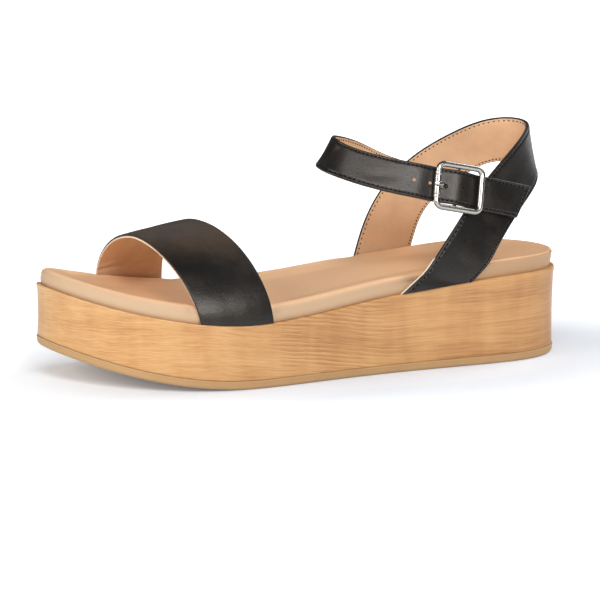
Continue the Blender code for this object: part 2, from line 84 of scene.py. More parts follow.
# Stack under the footbed, by share of the length: high at the heel, level under the ball
STACK = table(
    "share thickness_mm",
    (0.00, 40.9),
    (0.15, 40.6),
    (0.30, 37.7),
    (0.42, 34.9),
    (0.54, 31.1),
    (0.66, 28.8),
    (0.80, 28.6),
    (1.00, 27.6),
)

# Side walls from the bottom up: how far each level sits in from the edge, and its share of height
WALL = "inset_mm rise"
OUTSOLE_WALL = table(
    WALL,
    (2.2, 0.0),
    (1.5, 0.03),
    (0.9, 0.12),
    (0.5, 0.26),
    (0.3, 0.45),
    (0.3, 0.74),
    (0.1, 0.82),
    (0.05, 0.90),
    (0.15, 0.97),
    (0.4, 1.0),
)
PLATFORM_WALL = table(
    WALL,
    (0.7, 0.0),
    (0.45, 0.012),
    (0.52, 0.06),
    (0.66, 0.18),
    (0.8, 0.40),
    (0.76, 0.60),
    (0.62, 0.80),
    (0.5, 0.90),
    (0.25, 0.94),
    (0.1, 0.965),
    (0.15, 0.985),
    (0.45, 1.0),
)

# Places where a strap's foot pinches the footbed's wall in, and the footbed takes painted shade
TUCKS = table(
    "side at_mm reach_mm depth_mm",
    ("lateral", 81.0, 8.5, 4.0),
    ("lateral", 52.0, 5.0, 0.5),
    ("lateral", 198.5, 2.2, 0.7),
    ("lateral", 157.8, 2.2, 0.8),
    ("medial", 92.0, 6.0, 0.9),
    ("medial", 214.0, 3.0, 0.7),
    ("medial", 176.0, 3.0, 0.7),
)

# Toe strap: its front and back edges arch from the lateral to the medial foot
ToeEdge = namedtuple("ToeEdge", "lateral_x_mm medial_x_mm bow_mm rise_mm skew fullness")
TOE_FRONT = ToeEdge(195.1, 211.7, 4.6, 31.9, 0.07, 1.83)
TOE_BACK = ToeEdge(160.8, 179.3, 4.5, 39.2, 0.14, 2.14)
TOE_WIDTH = 34 * MM

# Soft troughs and ridges in a strap: its place as shares along and across, its half sizes, its
# height out of the face and the way it turns from lying along the strap
CREASE = "along across long_mm wide_mm out_mm turn_deg"
TOE_CREASES = table(
    CREASE,
    (0.15, 0.60, 15, 4.5, -0.20, 10),
    (0.22, 0.36, 14, 5.0, -0.15, -20),
    (0.27, 0.66, 15, 6.0, 0.25, 8),
    (0.45, 0.40, 16, 5.0, -0.20, 75),
    (0.62, 0.55, 12, 4.0, -0.20, 60),
    (0.84, 0.45, 10, 3.2, -0.30, 15),
)
TOE_LINING_CREASES = table(
    CREASE,
    (0.887, 0.84, 8, 0.9, -0.80, 86),
    (0.868, 0.90, 5, 0.8, 0.50, 75),
    (0.853, 0.86, 5, 0.9, -0.50, 65),
    (0.884, 0.28, 6, 0.8, -0.55, 95),
    (0.870, 0.22, 5, 0.7, 0.35, 80),
    (0.82, 0.55, 8, 1.8, -0.30, 40),
)
HEEL_CREASES = table(
    CREASE,
    (0.09, 0.45, 10, 3.5, -0.35, 70),
    (0.17, 0.60, 11, 4.0, 0.30, 60),
    (0.25, 0.40, 12, 4.0, -0.25, 80),
    (0.45, 0.50, 9, 4.0, -0.30, 85),
    (0.56, 0.45, 9, 3.5, -0.30, 95),
    (0.88, 0.50, 10, 3.5, -0.35, 80),
)
ANKLE_CREASES = table(
    CREASE,
    (0.35, 0.55, 6, 2.6, -0.30, 85),
    (0.41, 0.45, 6, 2.4, -0.35, 95),
    (0.47, 0.55, 6, 2.4, -0.30, 88),
    (0.60, 0.40, 9, 2.6, -0.18, 15),
)

# Straps of the heel sling: a row for each section, the way its face turns in plan and leans up,
# and how far its upper edge runs on past its lower edge
STRAP = "x_mm y_mm z_mm face_deg lean_deg width_mm slant_mm"
HEEL_STRAP = table(
    STRAP,
    (88.6, 35.1, 29.0, 94, 0, 16.5, -25),
    (75.0, 34.1, 38.0, 94, 3, 17.8, -25),
    (69.2, 33.5, 42.2, 94, 6, 20.0, -19),
    (63.0, 32.8, 48.4, 94, 9, 23.2, -12),
    (52.2, 29.8, 61.3, 96, 13, 23.4, -3),
    (40.9, 25.2, 73.4, 102, 13, 23.4, 0),
    (28.7, 19.4, 83.5, 113, 12, 23.4, 0),
    (17.0, 11.0, 91.8, 134, 12, 23.4, 0),
    (11.4, -2.0, 97.1, 186, 16, 23.4, 0),
    (22.0, -14.0, 97.8, 240, 23, 23.0, 0),
    (37.5, -21.0, 91.3, 258, 19, 23.0, 0),
    (51.8, -25.3, 81.6, 263, 11, 23.6, 0),
    (62.9, -28.3, 69.5, 265, 5, 24.4, 0),
    (69.7, -30.5, 53.8, 269, 2, 27.1, 0),
    (74.2, -31.2, 37.7, 270, 0, 27.5, 6),
    (77.3, -31.2, 27.4, 270, 0, 27.5, 6),
)
ANKLE_STRAP = table(
    STRAP,
    (49.0, -26.4, 75.5, -94, 6, 16, 0),
    (56.0, -27.9, 77.4, -92, 5, 16, 0),
    (67.0, -28.9, 80.8, -86, 3, 16, 0),
    (79.7, -26.4, 85.6, -77, 8, 16, 0),
    (91.7, -21.2, 90.9, -69, 17, 16, 0),
    (103.4, -14.4, 95.0, -60, 25, 16, 0),
    (113.6, -6.0, 97.2, -38, 29, 16, 0),
    (115.0, 5.5, 95.8, 38, 31, 16, 0),
    (105.8, 14.8, 91.9, 66, 29, 16, 0),
    (93.4, 20.8, 88.5, 75, 23, 16, 0),
    (80.5, 25.0, 85.7, 80, 18, 16, 0),
    (66.8, 27.8, 82.8, 86, 16, 16, 0),
    (53.5, 29.0, 79.8, 92, 15, 16, 0),
    (40.5, 28.4, 76.8, 99, 14, 16, 0),
    (27.7, 25.85, 73.7, 104, 12, 16, 7.6),
)

# Buckle tab: how deep it runs under the ankle strap's even run, from the centre bar to its end
TAB_DEPTH = table(
    "run_mm depth_mm",
    (0.0, 2.4),
    (5.0, 2.8),
    (10.0, 3.05),
    (15.0, 2.6),
    (20.0, 2.3),
    (31.0, 2.3),
)

# Prong: its shank from the centre bar to the front bar, in the buckle's frame
PRONG_SHANK = table(
    "front_mm out_mm",
    (4.6, -2.4),
    (6.8, 0.3),
    (8.4, 3.1),
    (10.2, 4.6),
    (12.9, 4.4),
)

# Sleeve on the buckle's front bar: how far past its end or its seam, and how far it drops there
SLEEVE_END = table(
    "past_mm drop_mm",
    (0.01, 0.2),
    (0.08, 0.08),
    (0.2, 0.0),
    (0.3, 0.0),
)
SLEEVE_SEAM = table(
    "past_mm drop_mm",
    (-0.35, 0.0),
    (-0.25, 0.0),
    (-0.12, 0.14),
    (0.12, 0.14),
    (0.25, 0.0),
    (0.35, 0.0),
)
SEAM_FROM_END = 1.7 * MM

# Holes open along the ankle strap, counted from the one that the prong stands in towards the toe
OPEN_HOLES = (-1, 1, 2)
BLIND_HOLE_FLOOR = 0.1 * MM
PRONG_HOLE_HALF_WIDTH = 1.15 * MM
PRONG_HOLE_HALF_LENGTH = 1.5 * MM

# Distances in from a strap's edge where its section is worked out
EDGE_STEPS = np.array((
    0, 0.05, 0.15, 0.3, 0.5, 0.55, 0.75, 0.95, 1.1, 1.25, 1.4, 1.55, 1.8, 2.3, 3.2)) * MM
MIDDLE_STEPS = 9
TOE_SECTIONS = 181
TOE_COLUMNS = 20
HEEL_SECTIONS = 260
ANKLE_SECTIONS = 240

# Faces from side to side over the caps of the sole's layers
TREAD_COLUMNS = 48
PLATFORM_COLUMNS = 8
BED_COLUMNS = 16

# Small measures of the straps' make
LINING_EDGE = 0.3 * MM
LINING_GAP = 0.02 * MM
BARE_EDGE = 0.6 * MM
GROOVE_WIDTH = 0.38 * MM
CREASE_SPAN = 20 * MM
LOWEST_STITCH = 0.8 * MM
THREAD_LIFT = 0.02 * MM
TOE_RUN = 120 * MM
TOE_LEATHER_EDGE = 0.62 * MM
TOE_LINING_EDGE = 0.34 * MM
TAB_EDGE = 0.3 * MM

# Edges sharper than this stay sharp in the shading
SHARP_ANGLE = math.radians(50)

# Area lights, all turned to the shoe
LIGHTS = table(
    "name place_m size_m watts",
    ("key", (0.08, 1.9, 1.06), (1.0, 0.7), 24.5),
    ("top", (0.65, 1.2, 1.55), (0.8, 0.6), 10),
    ("left", (1.5, 0.3, 0.7), (1.1, 0.9), 13),
    ("heel", (-1.25, -0.2, 1.15), (1.1, 0.9), 13),
    ("back", (-0.2, -1.5, 1.2), (1.6, 1.0), 2),
)
FLOOR_HALF = 12.0


def length(name, what, value):
    """A length setting in metres."""
    return FloatProperty(name=name, description=what, default=value, unit="LENGTH", precision=5)


def angle(name, what, degrees):
    """An angle setting, given in degrees."""
    return FloatProperty(name=name, description=what, default=math.radians(degrees), subtype="ANGLE")


def number(name, what, value):
    """A plain number setting."""
    return FloatProperty(name=name, description=what, default=value)


def colour(name, what, value):
    """A colour setting."""
    return FloatVectorProperty(
        name=name, description=what, default=value, subtype="COLOR", size=3, min=0, max=1)


class SoleSettings(PropertyGroup):
    """Sizes of the outsole, the platform and the footbed"""

    length: length("Length", "Heel end to toe end", 250 * MM)
    toe_spring: length("Toe spring", "Height of the tread at the toe end", 15 * MM)
    spring_from: FloatProperty(
        name="Spring from", description="Share of the length where the toe spring starts",
        default=0.666, subtype="FACTOR", min=0, max=1)
    outsole: length("Outsole", "Thickness of the tread sole", 3.95 * MM)
    gap: length("Gap", "Seam between two layers", 0.05 * MM)
    steps: IntProperty(name="Steps", description="Sections from heel to toe", default=240, min=40)
    tread_pitch: length("Tread pitch", "Rib to rib on the underside", 5.6 * MM)
    tread_depth: length("Tread depth", "Depth between the ribs", 0.7 * MM)
    tread_border: length("Tread border", "Plain band round the ribs", 6 * MM)
    bed_inset: length("Footbed inset", "Edge of the platform to the footbed's wall", 2.3 * MM)
    bed_rise: length("Footbed rise", "Platform to the top of the rim", 7.75 * MM)
    bed_swell: length("Footbed swell", "How far the footbed's wall swells out", 0.35 * MM)
    bed_lean: length("Heel lean", "How far the footbed's wall leans out at the heel", 0.9 * MM)
    rim_heel: length("Heel rim", "Radius of the rim at the heel", 1.3 * MM)
    rim_toe: length("Toe rim", "Radius of the rim at the toe", 3.4 * MM)
    crease: length("Rim crease", "Depth of the crease on the heel's rim", 0.4 * MM)
    dish: length("Dish", "Depth of the footbed inside its rim", 1.7 * MM)
    dish_ball: length("Ball dish", "Depth of the footbed under the ball and toes", 3.6 * MM)
    dish_width: length("Dish width", "Rim to the bottom of the dish", 11 * MM)


class StrapSettings(PropertyGroup):
    """Sizes of the straps, their lining and their stitches"""

    wall: length("Strap wall", "Leather and lining of the heel and ankle straps", 1.8 * MM)
    lining: length("Lining", "Thickness of the lining", 0.75 * MM)
    toe_wall: length("Toe wall", "Leather and lining of the toe strap", 1.7 * MM)
    foot_gap: length("Foot gap", "Toe strap's foot above the platform", 0.2 * MM)
    toe_crown: length("Toe crown", "How far the toe strap swells between its edges", 1.1 * MM)
    edge: length("Edge", "Radius of a strap's edge", 0.5 * MM)
    turned: length("Turned edge", "Width of the leather turned over the lining's edge", 0.22 * MM)
    groove: length("Groove", "Depth of the stitched line", 0.16 * MM)
    stitch_inset: length("Stitch inset", "Edge to the stitched line", 1.3 * MM)
    stitch_pitch: length("Stitch pitch", "Stitch to stitch", 2.0 * MM)
    stitch_length: length("Stitch length", "Length of one stitch", 1.3 * MM)
    lining_stitch: length("Lining stitch", "Length of one stitch on the lining's side", 0.8 * MM)
    thread: length("Thread", "Radius of the thread", 0.34 * MM)
    hole: length("Hole", "Radius of a punched hole", 0.7 * MM)
    hole_pitch: length("Hole pitch", "Hole to hole", 7.6 * MM)
    bare_run: length("Bare run", "Heel strap's lateral foot whose front edge shows the lining", 32 * MM)
    tab_width: length("Tab width", "Width of the buckle tab", 14 * MM)
    tab_wall: length("Tab wall", "Both layers of the folded tab", 1.9 * MM)


class BuckleSettings(PropertyGroup):
    """Sizes of the buckle"""

    from_tail: length("From tail", "Tail end to the buckle's middle", 36.4 * MM)
    turn: angle("Turn", "Turn of the buckle on the strap", 2)
    half_length: length("Half length", "Middle to the front bar", 10.8 * MM)
    half_width: length("Half width", "Middle to a side bar", 10.0 * MM)
    corner: length("Corner", "Radius of the frame's corners", 3.0 * MM)
    wire: length("Wire", "Radius of the frame's wire", 1.4 * MM)
    lift: length("Lift", "Frame above the strap's even run", 2.0 * MM)
    roller: length("Roller", "Radius of the sleeve on the front bar", 1.72 * MM)
    roller_length: length("Roller length", "Length of the sleeve", 12.4 * MM)
    bar: length("Centre bar", "Radius of the centre bar", 0.9 * MM)
    bar_depth: length("Bar depth", "Centre bar below the strap's even run", 2.25 * MM)
    leg: length("Leg", "Middle to the centre bar's legs", 9.3 * MM)
    prong_width: length("Prong width", "Width of the prong", 1.9 * MM)
    prong_wall: length("Prong thickness", "Thickness of the prong", 1.25 * MM)
    prong_eye: length("Prong eye", "Radius of the prong's eye", 1.8 * MM)
    prong_hole: length("Prong hole", "Middle to the hole that the prong stands in", 6.8 * MM)
    hole_row: length("Hole row", "Middle to where the row of open holes is counted from", 6.0 * MM)
    sink: length("Strap sink", "How far the bars press the strap in", 0.75 * MM)
    bulge: length("Strap bulge", "How far the strap rises over the centre bar", 1.4 * MM)
    recovery: length("Recovery", "Distance in which the strap springs back", 9 * MM)


class ColourSettings(PropertyGroup):
    """Colours of the finishes"""

    wood_pale: colour("Pale wood", "Lightest streaks of the platform", (0.66, 0.40, 0.172))
    wood: colour("Wood", "Body of the platform", (0.55, 0.282, 0.102))
    wood_dark: colour("Dark wood", "Darkest streaks of the platform", (0.35, 0.152, 0.046))
    rubber: colour("Rubber", "Tread sole", (0.475, 0.278, 0.121))
    bed: colour("Footbed", "Leather of the footbed", (0.79, 0.49, 0.28))
    bed_heel: colour("Heel wall", "Leather of the footbed's wall at the heel", (0.465, 0.285, 0.158))
    bed_wall: colour("Footbed wall", "Paler leather of its wall towards the toe", (0.525, 0.358, 0.222))
    # Dark footbed tone: random cloudy tone, pores, darker towards the heel, and painted shade in the tucks
    bed_dark: colour("Dark footbed", "Deeper tone of the footbed", (0.71, 0.425, 0.235))
    leather: colour("Leather", "Black leather", (0.0068, 0.0060, 0.0057))
    leather_worn: colour("Worn leather", "Brown where the leather is stretched", (0.017, 0.0125, 0.0095))
    # Painted brown sheen over the toe strap's crest
    leather_crest: colour("Leather crest sheen", "Brown over the toe strap's crest", (0.052, 0.031, 0.019))
    lining: colour("Lining", "Tan lining of the straps", (0.735, 0.468, 0.275))
    raw_edge: colour("Raw edge", "Pale cut edge of the lining", (0.90, 0.72, 0.56))
    thread: colour("Thread", "Black thread", (0.004, 0.0037, 0.0036))
    metal: colour("Metal", "Polished silver-coloured metal", (0.43, 0.41, 0.375))


class StageSettings(PropertyGroup):
    """Floor, light and camera"""

    floor: colour("Floor", "Pale floor", (0.78, 0.81, 0.85))
    glow: number("Glow", "Even light of the floor by the shoe", 0.09)
    sky: number("Sky", "Strength of the room's light", 0.09)
    camera_at: FloatVectorProperty(
        name="Camera place", description="Camera in the maker's frame",
        default=(0.6472, 1.1702, 0.2571), subtype="XYZ", unit="LENGTH")
    azimuth: angle("Azimuth", "Turn of the camera round the shoe", 156.09)
    elevation: angle("Elevation", "Height of the camera over the horizon", 10.07)
    roll: angle("Roll", "Roll of the camera", 0.53)
    lens: number("Lens", "Focal length in millimetres", 170.15)


class SandalSettings(PropertyGroup):
    """All settings of the sandal"""

    sole: PointerProperty(type=SoleSettings)
    straps: PointerProperty(type=StrapSettings)
    buckle: PointerProperty(type=BuckleSettings)
    colours: PointerProperty(type=ColourSettings)
    stage: PointerProperty(type=StageSettings)


def settings():
    """The sandal's settings in this scene."""
    return bpy.context.scene.flatform_sandal


# Curves and outlines

def column(rows, name):
    """One named column of a table as an array."""
    return np.array([getattr(row, name) for row in rows], float)


def spline(knots, values, at):
    """Natural cubic curve through the knots, read at the given places."""
    at = np.asarray(at, float)
    gaps = np.diff(knots)
    slopes = np.diff(values) / gaps
    last = len(knots) - 1
    matrix = np.eye(last + 1)
    right = np.zeros(last + 1)
    for i in range(1, last):
        matrix[i, i - 1:i + 2] = gaps[i - 1], 2 * (gaps[i - 1] + gaps[i]), gaps[i]
        right[i] = 6 * (slopes[i] - slopes[i - 1])
    bend = np.linalg.solve(matrix, right)
    i = np.clip(np.searchsorted(knots, at) - 1, 0, last - 1)
    after = (at - knots[i]) / gaps[i]
    before = 1 - after
    straight = before * values[i] + after * values[i + 1]
    curved = (before ** 3 - before) * bend[i] + (after ** 3 - after) * bend[i + 1]
    return straight + curved * gaps[i] ** 2 / 6


def unit(vectors):
    """The same rows at length one."""
    return vectors / np.linalg.norm(vectors, axis=-1, keepdims=True)


def smooth_step(value, low=0, high=1):
    """0 below low, 1 above high and smooth between."""
    share = np.clip((value - low) / (high - low), 0, 1)
    return share * share * (3 - 2 * share)


def edge_turn(share):
    """Angle round the footprint: the shares crowd together at the round heel and toe."""
    return np.arccos(1 - 2 * np.clip(share, 0, 1))


def edge_y(x, side):
    """The sole's edge beside a point of its length, on the lateral or the medial side."""
    knots = edge_turn(column(SOLE_EDGE, "share"))
    turn = edge_turn(x / settings().sole.length)
    return spline(knots, column(SOLE_EDGE, side + "_mm"), turn) * MM


def sole_edge():
    """Plan points of the sole: heel end, lateral side to the toe end, then the medial side back."""
    sole = settings().sole
    x = sole.length / 2 * (1 - np.cos(np.linspace(0, math.pi, sole.steps + 1)))
    lateral = np.column_stack((x, edge_y(x, "lateral")))
    medial = np.column_stack((x, edge_y(x, "medial")))
    return np.vstack((lateral, medial[-2:0:-1]))


def inset_edge(margin):
    """The sole's plan points moved in from the edge by a margin, one for all or one for each."""
    points = sole_edge()
    along = unit(np.roll(points, -1, axis=0) - np.roll(points, 1, axis=0))
    inward = np.column_stack((along[:, 1], -along[:, 0]))
    return points + inward * np.reshape(margin, (-1, 1))


def tread_height(x):
    """Underside of the shoe: flat on the floor, then the toe spring."""
    sole = settings().sole
    past = np.clip((x / sole.length - sole.spring_from) / (1 - sole.spring_from), 0, None)
    return sole.toe_spring * past ** 2


def platform_top(x):
    """Top face of the platform above the floor."""
    share = x / settings().sole.length
    return tread_height(x) + spline(column(STACK, "share"), column(STACK, "thickness_mm"), share) * MM


def outsole_top(x):
    """Top face of the outsole above the floor."""
    return tread_height(x) + settings().sole.outsole


def platform_bottom(x):
    """Underside of the platform."""
    return outsole_top(x) + settings().sole.gap


# Meshes

def home():
    """The maker's frame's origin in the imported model's frame."""
    edge = sole_edge()
    middle = (edge.min(axis=0) + edge.max(axis=0)) / 2
    return np.array((-middle[0], -middle[1], 0))


def smooth_shade(mesh):
    """Shade a mesh smooth between its sharp edges."""
    mesh.shade_smooth()
    mesh.set_sharp_from_angle(angle=SHARP_ANGLE)


def mesh_from(name, points, faces):
    """A smooth mesh from points of the maker's frame."""
    mesh = bpy.data.meshes.new(name)
    mesh.from_pydata((np.asarray(points) + home()).tolist(), [], faces)
    mesh.validate()
    smooth_shade(mesh)
    return mesh


def grid_faces(ids):
    """Quads between the neighbours of a table of point numbers."""
    quads = np.stack((ids[:-1, :-1], ids[1:, :-1], ids[1:, 1:], ids[:-1, 1:]), axis=-1)
    return quads.reshape(-1, 4).tolist()


def solid_between(name, outer, inner):
    """A closed solid between two sheets of points with the same rows and columns."""
    rows, columns = outer.shape[:2]
    above = np.arange(rows * columns).reshape(rows, columns)
    below = above + rows * columns
    faces = grid_faces(above) + grid_faces(below[:, ::-1])
    faces += grid_faces(np.stack((below[:, 0], above[:, 0]), axis=1))
    faces += grid_faces(np.stack((above[:, -1], below[:, -1]), axis=1))
    faces += grid_faces(np.stack((above[0], below[0]), axis=1))
    faces += grid_faces(np.stack((below[-1], above[-1]), axis=1))
    return mesh_from(name, np.vstack((outer.reshape(-1, 3), inner.reshape(-1, 3))), faces)


def capped_rings(name, rings, columns, relief=None):
    """A closed solid of stacked rings round the footprint, capped by rows from side to side."""
    steps = settings().sole.steps
    count = 2 * steps
    ids = np.arange(len(rings) * count).reshape(len(rings), count)
    faces = grid_faces(np.column_stack((ids, ids[:, :1])))
    points = [np.vstack(rings)]
    start = len(rings) * count
    shares = np.linspace(0, 1, columns + 1)[None, 1:-1, None]
    for level, flip in ((0, False), (len(rings) - 1, True)):
        ring = rings[level]
        lateral = ring[1:steps, None]
        medial = ring[:steps:-1, None]
        inner = lateral * (1 - shares) + medial * shares
        if relief and not flip:
            across = np.linalg.norm(medial - lateral, axis=2)
            margin = np.minimum(shares, 1 - shares)[..., 0] * across
            inner[..., 2] += relief(inner[..., 0], inner[..., 1], margin)
        number = start + np.arange(inner.shape[0] * inner.shape[1]).reshape(inner.shape[:2])
        start += number.size
        points.append(inner.reshape(-1, 3))
        row = np.column_stack((ids[level, 1:steps], number, ids[level, :steps:-1]))
        cap = grid_faces(row)
        for j in range(columns):
            cap.append([ids[level, 0], row[0, j], row[0, j + 1]])
            cap.append([ids[level, steps], row[-1, j + 1], row[-1, j]])
        faces += [face[::-1] for face in cap] if flip else cap
    return mesh_from(name, np.vstack(points), faces)


def sweep(points, wide, thick, side_on, sides=16, closed=False, power=1.0):
    """A rod along points: its half width along side_on, its half thickness across it, and the
    power of cosine and sine that squares its section off."""
    points = np.asarray(points, float)
    side_on = np.asarray(side_on, float)
    if closed:
        along = unit(np.roll(points, -1, axis=0) - np.roll(points, 1, axis=0))
    else:
        along = unit(np.gradient(points, axis=0))
    first = unit(side_on - along * (along @ side_on)[:, None])
    second = np.cross(first, along)
    turn = np.linspace(0, 2 * math.pi, sides, endpoint=False)
    cosine = np.copysign(np.abs(np.cos(turn)) ** power, np.cos(turn))[None, :, None]
    sine = np.copysign(np.abs(np.sin(turn)) ** power, np.sin(turn))[None, :, None]
    ring = points[:, None] + first[:, None] * cosine * np.reshape(wide, (-1, 1, 1))
    ring = ring + second[:, None] * sine * np.reshape(thick, (-1, 1, 1))
    ids = np.arange(len(points) * sides).reshape(len(points), sides)
    around = np.column_stack((ids, ids[:, :1]))
    if closed:
        return ring.reshape(-1, 3), grid_faces(np.vstack((around, around[:1])))
    caps = [ids[0].tolist(), ids[-1][::-1].tolist()]
    return ring.reshape(-1, 3), grid_faces(around) + caps


def mark(mesh, name, values):
    """Note a value at each point of a mesh for its finish to read."""
    shares = np.zeros(len(mesh.vertices))
    shares[:len(values)] = values
    mesh.attributes.new(name, "FLOAT", "POINT").data.foreach_set("value", shares)


def joined(parts):
    """Points and faces of several meshes as one."""
    points = []
    faces = []
    start = 0
    for more, cells in parts:
        points.append(more)
        faces += [[start + i for i in face] for face in cells]
        start += len(more)
    return np.vstack(points), faces


def put(name, data):
    """Put an object with its data into the scene."""
    made = bpy.data.objects.new(name, data)
    bpy.context.scene.collection.objects.link(made)
    return made


def piece(name, mesh, make, node):
    """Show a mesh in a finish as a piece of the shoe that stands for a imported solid."""
    mesh.materials.append(finish(make))
    shown = put(name, mesh)
    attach(shown, "root")
    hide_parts(node)
    return shown


def cut(shown, cutters, folded=False):
    """Cut closed meshes away from a piece; the cut faces keep the cutter's finish."""
    helpers = []
    for mesh in cutters:
        helper = put(mesh.name, mesh)
        helpers.append(helper)
        boolean = shown.modifiers.new(mesh.name, "BOOLEAN")
        boolean.operation = "DIFFERENCE"
        boolean.solver = "EXACT"
        boolean.use_self = folded
        boolean.material_mode = "TRANSFER"
        boolean.object = helper
    depsgraph = bpy.context.evaluated_depsgraph_get()
    mesh = bpy.data.meshes.new_from_object(shown.evaluated_get(depsgraph))
    shown.modifiers.clear()
    shown.data = mesh
    for helper in helpers:
        bpy.data.objects.remove(helper)
    smooth_shade(mesh)


# Finishes

class Shade:
    """A socket of a finish's node tree: sums and products of it add Math nodes."""

    def __init__(self, graph, socket):
        self.graph = graph
        self.socket = socket

    def other(self, name):
        """Another output of the same node."""
        return Shade(self.graph, self.socket.node.outputs[name])

    def maths(self, operation, *values):
        """A Math node on values, this socket among them."""
        return self.graph.node("ShaderNodeMath", {"operation": operation}, dict(enumerate(values)))

    def __add__(self, other):
        return self.maths("ADD", self, other)

    def __radd__(self, other):
        return self.maths("ADD", other, self)

    def __sub__(self, other):
        return self.maths("SUBTRACT", self, other)

    def __rsub__(self, other):
        return self.maths("SUBTRACT", other, self)

    def __mul__(self, other):
        return self.maths("MULTIPLY", self, other)

    def __rmul__(self, other):
        return self.maths("MULTIPLY", other, self)

    def __truediv__(self, other):
        return self.maths("DIVIDE", self, other)

    def __rtruediv__(self, other):
        return self.maths("DIVIDE", other, self)

    def eased(self, low, high):
        """0 below low, 1 above high and smooth between."""
        return self.graph.node(
            "ShaderNodeMapRange", {"interpolation_type": "SMOOTHSTEP"},
            {"Value": self, "From Min": low, "From Max": high})


class Graph:
    """The node tree of one finish."""

    def __init__(self, name):
        self.material = bpy.data.materials.new(name)
        self.material.use_nodes = True
        self.tree = self.material.node_tree
        self.shader = self.tree.nodes["Principled BSDF"]

    def feed(self, socket, value):
        """Set a socket to a value, or link a shade to it."""
        if isinstance(value, Shade):
            self.tree.links.new(value.socket, socket)
        else:
            socket.default_value = value

    def node(self, kind, given=None, inputs=None, output=0):
        """A node of a kind with its settings, then the values or links of its sockets."""
        node = self.tree.nodes.new(kind)
        for key, value in (given or {}).items():
            if key == "stops":
                ramp = node.color_ramp.elements
                while len(ramp) < len(value):
                    ramp.new(1)
                for stop, (at, tone) in zip(ramp, value):
                    stop.position = at
                    stop.color = tone
            else:
                setattr(node, key, value)
        for key, value in (inputs or {}).items():
            self.feed(node.inputs[key], value)
        return Shade(self, node.outputs[output])

    def place(self):
        """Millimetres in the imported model's frame."""
        where = self.node("ShaderNodeTexCoord", output="Object")
        return self.node("ShaderNodeVectorMath", {"operation": "SCALE"}, {0: where, "Scale": 1 / MM})

    def axes(self, vector):
        """The three parts of a vector."""
        x = self.node("ShaderNodeSeparateXYZ", None, {0: vector})
        return x, x.other("Y"), x.other("Z")

    def marked(self, name):
        """A value noted at the points of a mesh."""
        return self.node("ShaderNodeAttribute", {"attribute_name": name}, output="Fac")

    def stretched(self, vector, factors):
        """A vector with each part scaled."""
        return self.node("ShaderNodeVectorMath", {"operation": "MULTIPLY"}, {0: vector, 1: factors})

    def noise(self, vector, scale, detail=3.0, roughness=0.5):
        """Soft noise about 0.5 with a scale in cells for each unit of the vector."""
        return self.node(
            "ShaderNodeTexNoise", None,
            {"Vector": vector, "Scale": scale, "Detail": detail, "Roughness": roughness})

    def cells(self, vector, scale):
        """Distance to the middle of the nearest cell, as in leather grain."""
        return self.node("ShaderNodeTexVoronoi", {"feature": "F1"}, {"Vector": vector, "Scale": scale})

    def mixed(self, share, first, second):
        """Two colours mixed by a share."""
        return self.node("ShaderNodeMix", {"data_type": "RGBA"}, {0: share, 6: first, 7: second}, 2)

    def bump(self, height, strength, depth_mm):
        """A bumped normal from a height."""
        normal = self.node(
            "ShaderNodeBump", None,
            {"Height": height, "Strength": strength, "Distance": depth_mm * MM})
        self.feed(self.shader.inputs["Normal"], normal)

    def set(self, **sockets):
        """Feed the shader's sockets, named with underscores."""
        for name, value in sockets.items():
            self.feed(self.shader.inputs[name.replace("_", " ").title().replace("Ior", "IOR")], value)
        return self.material


def rgba(tone, factor=1.0):
    """A colour setting, darker or lighter, as a socket's value."""
    return (*(min(1.0, part * factor) for part in tone), 1.0)


def finish(make):
    """The finish that a function makes, named after it and made the first time it is asked for."""
    name = make.__name__
    return bpy.data.materials.get(name) or make(Graph(name))


def wood(graph):
    """Oiled pale wood: fine level grain that follows the toe spring and fans down behind the ball."""
    tones = settings().colours
    place = graph.place()
    x, y, z = graph.axes(place)
    sway = graph.noise(graph.stretched(place, (0.009, 0.009, 0.02)), 1.0, 1.0)
    ripple = graph.noise(graph.stretched(place, (0.07, 0.07, 0.12)), 1.0, 2.0)
    fan = 1.0 - x.eased(-32.0, 36.0)
    toeward = x.eased(0.0, 70.0)
    height = z - toeward * toeward * 5.0 + fan * 9.0 + sway * 6.0 + ripple * (toeward * 1.8 + 0.7)
    flow = graph.node("ShaderNodeCombineXYZ", None, {"X": x, "Y": y, "Z": height})
    broad = graph.noise(graph.stretched(flow, (0.010, 0.010, 0.06)), 1.0, 2.0)
    lines = graph.noise(graph.stretched(flow, (0.013, 0.013, 0.9)), 1.0, 3.0, 0.6)
    hairs = graph.noise(graph.stretched(flow, (0.05, 0.05, 2.9)), 1.0, 2.0)
    flecks = graph.noise(graph.stretched(flow, (0.16, 0.16, 1.7)), 1.0, 2.0)
    figure = graph.noise(graph.stretched(place, (0.10, 0.10, 0.025)), 1.0, 2.0)
    shade = broad * 0.6 + lines * 0.32 + hairs * 0.55 + figure * 0.34 + flecks * (0.12 + toeward * 0.26)
    ragged = graph.noise(graph.stretched(place, (0.06, 0.06, 0.22)), 1.0, 2.0)
    saw = height / 1.9 + ragged * 1.3
    feather = saw.maths("FRACT", saw)
    band = x.eased(-36.0, -14.0) * (1.0 - x.eased(24.0, 46.0)) * ragged.eased(0.36, 0.56)
    shade = shade + (feather - 0.5) * band * 0.34 - toeward * 0.05
    tone = graph.node(
        "ShaderNodeValToRGB",
        {"stops": ((0.20, rgba(tones.wood_dark)), (0.50, rgba(tones.wood)), (0.80, rgba(tones.wood_pale)))},
        {0: shade - 0.475})
    # Darker vertical streaks on the heel end: partly grain, partly painted shade on the end turned from the
    # light
    streaks = graph.noise(graph.stretched(place, (0.02, 0.30, 0.012)), 1.0, 2.0)
    heel = 1.0 - x.eased(-125.0, -92.0)
    tone = graph.mixed(heel * streaks.eased(0.3, 0.7) * 0.5, tone, rgba(tones.wood_dark, 0.95))
    graph.bump(lines * 0.6 + hairs, 0.25, 0.10)
    return graph.set(base_color=tone, roughness=0.40 + hairs * 0.16, coat_weight=0.12, coat_roughness=0.28)


